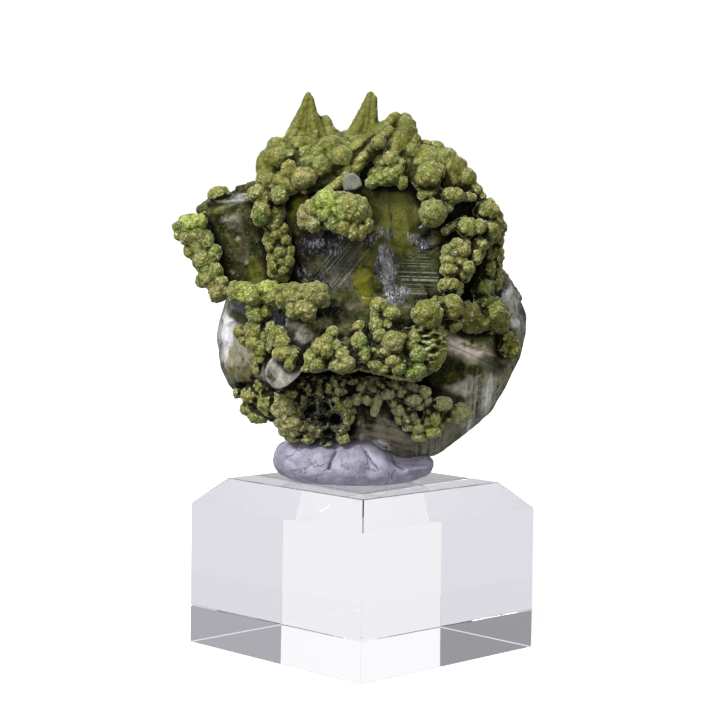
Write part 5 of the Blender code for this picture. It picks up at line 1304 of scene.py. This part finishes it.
class Finish:
    """The nodes of one material or of the world."""

    def __init__(self, owner):
        owner.use_nodes = True
        self.owner = owner
        self.tree = owner.node_tree
        self.tree.nodes.clear()

    def node(self, kind, settings, values, out=0):
        made = self.tree.nodes.new(kind)
        for key, value in settings.items():
            setattr(made, key, value)
        for key, value in values.items():
            if isinstance(value, Wire):
                self.tree.links.new(value.socket, made.inputs[key])
            else:
                made.inputs[key].default_value = value
        return Wire(self, made.outputs[out])

    def maths(self, operation, first, second):
        return self.node("ShaderNodeMath", {"operation": operation}, {0: first, 1: second})

    def mix(self, share, first, second):
        """A colour between two colours."""
        def shade(value):
            return value if isinstance(value, Wire) else (*value, 1.0)
        return self.node(
            "ShaderNodeMix", {"data_type": "RGBA"}, {0: share, 6: shade(first), 7: shade(second)}, 2)

    def layers(self, base, rows):
        """A colour with layers over it, each one a share and a colour."""
        for share, tint in rows:
            base = self.mix(share, base, tint if isinstance(tint, Wire) else rgb(*tint))
        return base

    def place(self):
        return self.node("ShaderNodeTexCoord", {}, {}, "Object")

    def along(self, axis):
        """The place along X, Y or Z, in metres."""
        return self.node("ShaderNodeSeparateXYZ", {}, {0: self.place()}, axis)

    def noise(self, size, detail=3.0, rough=0.55, out=0, warp=0.0, stretch=1.0):
        """Smooth noise. A stretch below 1 draws it out along the object's height."""
        at = self.node("ShaderNodeVectorMath", {"operation": "MULTIPLY"}, {
            0: self.place(), 1: (1, 1, stretch)})
        return self.node("ShaderNodeTexNoise", {}, {
            "Vector": at, "Scale": 1 / (size * MM), "Detail": detail, "Roughness": rough,
            "Distortion": warp}, out)

    def cracks(self, size, width, bend):
        """1 on thin wandering lines between cells of that size."""
        wander = self.noise(size * 0.5, 3.0, 0.6, "Color")
        moved = self.node("ShaderNodeVectorMath", {"operation": "MULTIPLY_ADD"}, {
            0: wander, 1: (bend * MM, bend * MM, bend * MM), 2: self.place()})
        edge = self.node("ShaderNodeTexVoronoi", {"feature": "DISTANCE_TO_EDGE"}, {
            "Vector": moved, "Scale": 1 / (size * MM)}, "Distance")
        return 1 - edge.over(0.0, width)

    def cells(self, size, out="Distance"):
        """Distance to the middle of the nearest grain of that size."""
        return self.node("ShaderNodeTexVoronoi", {}, {
            "Vector": self.place(), "Scale": 1 / (size * MM)}, out)

    def grit(self, size):
        """A number from 0 to 1 for each crystal grain of that size."""
        return self.node("ShaderNodeSeparateColor", {}, {0: self.cells(size, "Color")}, 0)

    def value(self, name):
        return self.node("ShaderNodeAttribute", {"attribute_name": name}, {}, "Fac")

    def tint(self, name):
        return self.node("ShaderNodeAttribute", {"attribute_name": name}, {}, "Color")

    def bump(self, height, distance, strength=1.0, normal=None):
        values = {"Height": height, "Distance": distance * MM, "Strength": strength}
        if normal:
            values["Normal"] = normal
        return self.node("ShaderNodeBump", {}, values, "Normal")

    def surface(self, values):
        return self.node("ShaderNodeBsdfPrincipled", {}, values, "BSDF")

    def blend(self, share, first, second):
        return self.node("ShaderNodeMixShader", {}, {0: share, 1: first, 2: second}, "Shader")

    def depth_tint(self, tint, density):
        return self.node("ShaderNodeVolumeAbsorption", {}, {"Color": tint, "Density": density}, "Volume")

    def end(self, surface, volume=None):
        of_world = isinstance(self.owner, bpy.types.World)
        made = self.tree.nodes.new("ShaderNodeOutputWorld" if of_world else "ShaderNodeOutputMaterial")
        self.tree.links.new(surface.socket, made.inputs["Surface"])
        if volume:
            self.tree.links.new(volume.socket, made.inputs["Volume"])
        return self.owner


def rgb(red, green, blue):
    return tuple(float(v) for v in colour(red, green, blue))


# Materials

CRYSTAL_IOR = 1.6
CALCITE_DEPTH = ((0.55, 0.54, 0.40, 1.0), 28.0)
BLOCK_IOR = 1.49
BLOCK_DEPTH = ((0.82, 0.82, 0.9, 1.0), 3.0)
# Heights, and places across, in metres, over which the crust changes its look: above the crown's foot it is
# smoother and its painted shade lighter, and below the ledge, towards its right, it gets a painted light
CROWN_FOOT = (0.07, 0.075)
LEDGE_UNDERSIDE = (0.0405, 0.043)
SHELTER_LEFT_END = (-0.004, 0.001)


def mottramite_finish():
    finish = Finish(bpy.data.materials.new("mottramite_crust"))
    names = ("crevice", "fine_crevice", "patch", "deep_shade", "shade", "seam", "deeper", "brown")
    crevice, fine, patch, deep_shade, shade, seam, deeper, brown = (finish.value(name) for name in names)
    height = finish.along("Z")
    high = height.over(*CROWN_FOOT)
    # Painted light: below the ledge, towards its right, the crust and most of all its raised nodules are
    # painted paler
    painted_light_under_ledge = (1 - height.over(*LEDGE_UNDERSIDE)) * finish.along("X").over(*SHELTER_LEFT_END)
    smooth = (deeper.over(0.7, 0.85) + high * 0.55).kept()
    broad = finish.noise(2.6, 2.0)
    mottle = finish.noise(0.8, 3.0)
    grit = finish.grit(0.24)
    point = finish.cells(0.3)
    lobe = finish.cells(0.95)
    raised = ((0 - crevice).over(-0.2, 0.7) * 0.6 + (0 - fine).over(0.0, 0.9) * 0.6).kept()
    hollow = crevice.over(0.0, 0.8) * 0.6 + fine.over(0.1, 0.9) * 0.5
    # Painted shade: dim darkens the hollows, the seams between lumps and the places that other skin closes
    # in, and dark turns the deepest gaps and the seams in hollows near black
    dim = (hollow + seam * 0.4 + shade.over(0.5, 1.1) * 0.5).kept()
    joint = seam.over(0.3, 1.0) * crevice.over(-0.35, 0.35)
    dark = (crevice.over(0.4, 1.0) * 0.6 + joint * 0.85 + shade.over(0.75, 1.35)).kept()
    web = deep_shade.over(0.05, 0.35) * (1 - deep_shade.over(0.45, 0.8)) * mottle.over(0.5, 0.6)
    # Painted glints: pale spots on raised grains, kept out of the dark gaps and the deeper olive parts; the
    # spots are also made smoother
    glint = finish.grit(0.17).over(0.85, 0.95) * (1 - dark) * (1 - deeper)
    green = finish.mix(patch.over(0.5, 0.95), rgb(98, 124, 48), rgb(168, 184, 84))
    # The colour of the painted black shade, with violet-grey web lines where it thins out
    deep_shade_colour = finish.mix(web * 0.6, rgb(9, 8, 10), rgb(112, 106, 126))
    olive = finish.mix(broad.over(0.38, 0.62), rgb(134, 128, 60), rgb(116, 126, 62))
    olive = finish.layers(olive, (
        (mottle.over(0.45, 0.75) * 0.6, (158, 154, 78)),
        (deeper * 0.85, (90, 91, 20)),
        (brown * 0.75, (150, 141, 102)),
        (patch.over(0.05, 0.5) * (0.7 + 0.3 * mottle), green),
        # Pale grains: the crust's own grain, with more of them on raised parts as a painted highlight
        ((grit - 0.5).over(0.1, 0.45) * (0.25 + 0.55 * raised) * (1 - smooth * 0.7), (204, 202, 156)),
        ((point.over(0.35, 0.75) * 0.35 + lobe.over(0.55, 0.85) * 0.4).kept(), (78, 80, 26)),
        ((0.5 - grit).over(0.0, 0.5) * (0.6 - 0.3 * smooth), (72, 78, 14)),
        # Painted shade in the hollows, seams and closed-in gaps, lighter on the pale brown parts
        (dim * (0.75 - 0.4 * brown), (58, 66, 6)),
        # Painted highlight: pale tops of fine nodules where other skin closes in
        ((fine * -1).over(0.0, 0.8) * shade.over(0.45, 0.9) * 0.6, (206, 202, 150)),
        # Painted light on the crust below the ledge, most on raised nodules, not on the colour patches
        (painted_light_under_ledge * (0.2 + 0.35 * raised) * (1 - patch), (200, 198, 146)),
        # Painted shade near black in the deepest gaps, lighter on the crown
        (dark * (0.94 - 0.26 * high), (14, 15, 3)),
        # Painted black shade in the pits and in the hollows under the ledge
        (deep_shade, deep_shade_colour),
        # Painted glints on raised grains
        (glint * raised * 0.85, (236, 233, 200))))
    bump = finish.bump((1 - point * point) * (1 - smooth * 0.7), 0.14, 0.9)
    bump = finish.bump(1 - lobe * lobe, 0.3, 0.6, bump)
    return finish.end(finish.surface({
        "Base Color": olive, "Roughness": 0.5 - 0.25 * glint, "Normal": bump, "IOR": CRYSTAL_IOR,
        "Specular IOR Level": 0.12, "Sheen Weight": 0.85, "Sheen Roughness": 0.2,
        "Sheen Tint": (0.88, 0.92, 0.55, 1.0)}))


def rippled(name):
    """A new material with the ripples of a calcite face: its nodes, the fine noise and the bump."""
    finish = Finish(bpy.data.materials.new(name))
    fine = finish.noise(0.3, 3.0, 0.6)
    bump = finish.bump(finish.noise(2.2, 2.0, 0.5), 0.14, 0.25)
    return finish, fine, finish.bump(fine, 0.02, 0.25, bump)


def clear_calcite(finish, fine, bump):
    return finish.surface({
        "Base Color": (0.93, 0.94, 0.93, 1.0), "Roughness": 0.03 + 0.12 * fine.over(0.55, 0.75),
        "Transmission Weight": 1.0, "IOR": CRYSTAL_IOR, "Normal": bump})


def small_crystal_finish():
    finish, fine, bump = rippled("small_crystal_clear")
    milky = finish.surface({
        "Base Color": (*rgb(138, 142, 128), 1.0), "Roughness": 0.25, "Normal": bump})
    cloudy = finish.noise(0.9, 3.0).over(0.35, 0.65) * 0.25 + 0.5
    mixed = finish.blend(cloudy, clear_calcite(finish, fine, bump), milky)
    return finish.end(mixed, finish.depth_tint(*CALCITE_DEPTH))


def calcite_finish():
    finish, fine, bump = rippled("calcite_clear")
    names = ("veil", "line_phase", "line_share", "shatter", "shade")
    veil, phase, lined, shatter, shade = (finish.value(name) for name in names)
    line = finish.node("ShaderNodeTexNoise", {"noise_dimensions": "1D"}, {
        "W": phase, "Scale": 1.0, "Detail": 2.0, "Roughness": 0.6})
    bump = finish.bump(line * lined, 0.08, 0.6, bump)
    lined = lined * finish.noise(0.8, 3.0).over(0.36, 0.56)
    cloud = finish.noise(1.1, 4.0, 0.65)
    grit = finish.grit(0.22)
    mottle = finish.noise(2.6, 5.0, 0.7, warp=1.2)
    dull = 1 - veil.over(0.93, 0.97)
    streak = finish.noise(0.3, 4.0, 0.75, stretch=0.2)
    silver = finish.mix(streak.over(0.43, 0.53), rgb(28, 28, 26), rgb(138, 138, 144))
    silver = finish.mix(streak.over(0.54, 0.62), silver, rgb(246, 246, 250))
    tint = finish.layers(finish.tint("veil_colour"), (
        (cloud.over(0.5, 0.75) * 0.25, (138, 134, 96)),
        ((1 - cloud).over(0.5, 0.75) * 0.5, (26, 28, 8)),
        (mottle.over(0.5, 0.62) * dull * 0.3, (128, 122, 92)),
        ((1 - mottle).over(0.46, 0.6) * (0.2 + 0.6 * dull), (26, 30, 4)),
        (grit.over(0.85, 1.0) * 0.12, (190, 188, 150)),
        ((1 - grit).over(0.6, 1.0) * 0.2, (18, 18, 6)),
        # Pale and dark stripes along the growth lines: their own streaks, with a painted highlight on the
        # pale ones
        (line.over(0.5, 0.66) * lined * 0.7, (158, 157, 146)),
        ((1 - line).over(0.48, 0.6) * lined * 0.7, (22, 23, 12)),
        (shatter * 0.9 * (0.5 + 0.5 * cloud.over(0.35, 0.6)), silver),
        # Painted shade where other skin closes in
        (shade.over(0.6, 1.35) * 0.9, (10, 10, 6))))
    body = finish.surface({
        "Base Color": tint, "Roughness": 0.4 - 0.2 * shatter, "Specular IOR Level": 0.07,
        "Coat Weight": 0.03 + 0.5 * shatter + 0.15 * veil.over(0.97, 1.0), "Coat Roughness": 0.12,
        "Normal": finish.bump(streak * shatter, 0.3, 0.9, bump)})
    band = line.over(0.46, 0.6) * lined * (1 - veil.over(0.6, 0.8))
    uneven = 0.35 * (cloud - 0.5) * (1 - veil.over(0.8, 0.95))
    # The painted body, with its painted shade, hides more of the clear shader where other skin closes in
    share = (veil * 1.05 + uneven + shade.over(0.6, 1.2) * 0.5 - band * 0.6).kept()
    mixed = finish.blend(share, clear_calcite(finish, fine, bump), body)
    return finish.end(mixed, finish.depth_tint(*CALCITE_DEPTH))


def putty_finish():
    finish = Finish(bpy.data.materials.new("putty"))
    crevice = finish.value("crevice")
    broad = finish.noise(3.0, 3.0)
    fine = finish.noise(0.35, 4.0, 0.7)
    crack = finish.cracks(5.0, 0.03, 2.6) * broad.over(0.46, 0.54)
    wrinkle = finish.cracks(1.3, 0.09, 1.6) * (1 - broad.over(0.44, 0.56)) * 0.4
    crack = (crack + wrinkle).kept()
    shade = finish.mix(broad.over(0.3, 0.7), rgb(142, 140, 156), rgb(168, 166, 184))
    shade = finish.layers(shade, (
        # Painted shade in the putty's hollows and creases
        (crevice.over(0.1, 0.9) * 0.85, (66, 64, 72)),
        ((1 - fine).over(0.55, 0.75) * 0.5, (112, 110, 122)),
        (crack * 0.5, (84, 82, 90))))
    bump = finish.bump(fine, 0.12, 0.7)
    bump = finish.bump(finish.noise(1.2, 3.0), 0.28, 0.6, bump)
    bump = finish.bump(1 - crack, 0.16, 0.7, bump)
    return finish.end(finish.surface({
        "Base Color": shade, "Roughness": 0.7 + 0.1 * fine, "Normal": bump, "Specular IOR Level": 0.3}))


def block_finish():
    finish = Finish(bpy.data.materials.new("clear_block"))
    scuff = finish.noise(0.5, 4.0, 0.7)
    bump = finish.bump(finish.noise(9.0, 1.0), 0.02, 0.3)
    polished = finish.surface({
        "Base Color": (0.985, 0.985, 1.0, 1.0), "Roughness": 0.012 + 0.03 * scuff.over(0.6, 0.8),
        "Transmission Weight": 1.0, "IOR": BLOCK_IOR, "Normal": bump})
    return finish.end(polished, finish.depth_tint(*BLOCK_DEPTH))


def floor_finish():
    """White all round, with the last brightness given by its own glow away from the specimen."""
    finish = Finish(bpy.data.materials.new("floor"))
    away = finish.node("ShaderNodeVectorMath", {"operation": "LENGTH"}, {0: finish.place()}, "Value")
    glow = finish.mix(away.over(0.02, 0.15), (0.3, 0.3, 0.3), (0.6, 0.6, 0.6))
    return finish.end(finish.surface({
        "Base Color": (0.9, 0.9, 0.91, 1.0), "Roughness": 0.9, "Specular IOR Level": 0.1,
        "Emission Color": glow, "Emission Strength": 1.0}))


# The studio

CAMERA_LENS = 100.0
SENSOR_WIDTH = 36.0
NEAREST_SEEN = 0.01
CAMERA_AIM = (-0.79, 0.0, 44.95)
CAMERA_DISTANCE = 312.3
CAMERA_ELEVATION = math.radians(4.42)
CAMERA_ROLL = math.radians(0.87)
FLOOR_RADIUS = 2.5
FLOOR_DROP = 0.05
LIGHT_AIM = (0.0, 0.0, 0.055)

# Lights: name, place, width, power, and whether shiny and clear surfaces show it
LIGHTS = (
    ("key", (-0.36, -0.45, 0.54), 0.2, 6.0, True),
    ("front_fill", (-0.10, -0.62, 0.16), 0.3, 1.35, False),
    ("side_fill", (0.5, -0.4, 0.3), 0.4, 0.5, False))


def make_camera():
    data = bpy.data.cameras.new("camera")
    data.lens = CAMERA_LENS
    data.sensor_width = SENSOR_WIDTH
    data.clip_start = NEAREST_SEEN
    back = Vector((0.0, -math.cos(CAMERA_ELEVATION), math.sin(CAMERA_ELEVATION)))
    made = bpy.data.objects.new("camera", data)
    turn = back.to_track_quat("Z", "Y").to_matrix().to_4x4()
    made.matrix_world = (
        Matrix.Translation((Vector(CAMERA_AIM) + back * CAMERA_DISTANCE) * MM) @ turn
        @ Matrix.Rotation(CAMERA_ROLL, 4, "Z"))
    bpy.context.scene.collection.objects.link(made)
    bpy.context.scene.camera = made


def make_floor():
    bm = bmesh.new()
    bmesh.ops.create_circle(bm, cap_ends=True, segments=64, radius=FLOOR_RADIUS)
    bm.transform(Matrix.Translation((0, 0, -FLOOR_DROP * MM)))
    made = add_object("floor", bm)
    made.data.materials.append(floor_finish())
    made.visible_diffuse = False
    made.visible_glossy = False
    made.visible_transmission = False


def make_light(name, where, size, power, mirrored):
    data = bpy.data.lights.new(name, "AREA")
    data.shape = "DISK"
    data.size = size
    data.energy = power
    made = bpy.data.objects.new(name, data)
    aim = Vector(LIGHT_AIM) - Vector(where)
    made.matrix_world = Matrix.Translation(where) @ aim.to_track_quat("-Z", "Y").to_matrix().to_4x4()
    made.visible_glossy = mirrored
    made.visible_transmission = mirrored
    bpy.context.scene.collection.objects.link(made)


def make_world():
    world = bpy.data.worlds.new("studio")
    bpy.context.scene.world = world
    finish = Finish(world)
    way = finish.node("ShaderNodeTexCoord", {}, {}, "Generated")
    right = finish.node("ShaderNodeSeparateXYZ", {}, {0: way}, "X")
    ahead, up = (Wire(finish, right.socket.node.outputs[name]) for name in ("Y", "Z"))
    glow = 0.1 + 0.3 * ahead.over(-0.2, 0.8) * up.over(-0.4, 0.1) + 0.8 * up.over(0.1, 1.0)
    ray = finish.node("ShaderNodeLightPath", {}, {}, "Is Camera Ray")
    through = Wire(finish, ray.socket.node.outputs["Is Transmission Ray"])
    table = 0.8 + 0.16 * ahead.over(0.3, 0.9)
    wall = 0.34 + 0.11 * right.over(-0.5, 0.5) + 0.68 * ahead.over(0.3, 0.9)
    behind = table + (wall - table) * up.over(-0.01, 0.01)
    behind = behind + (1 - behind) * up.over(0.3, 0.7)
    shade = finish.mix(through * (1 - ahead.over(0.3, 0.9)), (1.0, 1.0, 1.0), (1.0, 0.99, 1.04))
    strength = glow * (1 - ray) * (1 - through) + 1.05 * ray + behind * through
    return finish.end(finish.node(
        "ShaderNodeBackground", {}, {"Color": shade, "Strength": strength}, "Background"))


# Making everything

def sway(style, step, row):
    return style[0] * math.sin(step * style[1] + row * style[2])


def back_rows():
    """Rows of lumps laid on the hidden back of the calcite."""
    blank = calcite_blank("back_guide")
    bm = bmesh.new()
    bm.from_mesh(blank.data)
    surface = BVHTree.FromBMesh(bm)
    bm.free()
    bpy.data.objects.remove(blank, do_unlink=True)
    rows = []
    for row, (z, left, right) in enumerate(BACK_ROWS):
        count = int((right - left) / BACK_STEP)
        for step in range(count + 1):
            x = left + (right - left) * step / count
            height = z + sway(BACK_WAVE, step, row)
            hit = surface.ray_cast(Vector((x, BEHIND_ALL, height)) * MM, Vector((0, -1, 0)))[0]
            if hit is None:
                continue
            size = BACK_LUMP + sway(BACK_SIZES, step, row)
            y = hit.y / MM
            reach = (y - EYE[1]) / (READ_Y - EYE[1])
            rows.append((
                EYE[0] + (x - EYE[0]) / reach, y, EYE[2] + (height - EYE[2]) / reach,
                size, size * BACK_FLAT, BACK_DEPTH))
    return tuple(rows)


make_camera()
make_floor()
make_world()
for light in LIGHTS:
    make_light(*light)

crust = mottramite_finish()
crusted = [
    growth("crown", "crown_growth", crust, CROWN_LUMPS, CROWN_BODY, CROWN_FINGERS, 11,
           CROWN_SMOOTH + filled(CROWN_BODY[:-2], 1.1, 0.1), on_masses=LOW_ON_MASSES, skin=0.18),
    growth("left_arm", "left_arm_growth", crust, ARM_LUMPS, ARM_BODY, ARM_FINGERS, 12,
           filled(ARM_BODY, 1.12, -0.9), on_lumps=FINE_ON_LUMPS, on_masses=SMALL_ON_MASSES, back=-0.9),
    growth("lump_on_wing", "left_lump", crust, PERCH_BODY, seed=13),
    growth("knob", "centre_knob", crust, KNOB_LUMPS, KNOB_BODY, seed=14, on_lumps=FINE_ON_LUMPS, back=0),
    growth("right_bank", "right_bank_growth", crust, BANK_LUMPS + LEDGE_LUMPS, BANK_BODY + LEDGE_BODY,
           BANK_FINGERS, 15, lip_rows(np.random.default_rng(5)), on_masses=SMALL_ON_MASSES, back=-0.1),
    growth("lower_mass", "lower_growth", crust, LOWER_LUMPS + SPRIG_LUMPS, LOWER_BODY, LOWER_FINGERS, 16,
           on_lumps=FINE_ON_LUMPS, on_masses=SMALL_ON_MASSES, back=-0.5, pits=VUG_PITS),
    growth("crust_on_back", "back_crust", crust, back_rows(), seed=17, skin=BACK_SKIN)]
calcite = make_calcite(calcite_finish())
shade_gaps(crusted + [calcite])
make_small_crystal(small_crystal_finish())
make_putty(putty_finish(), calcite_blank("putty_cutter"))
make_block(block_finish())

bpy.context.scene.view_settings.view_transform = "Standard"
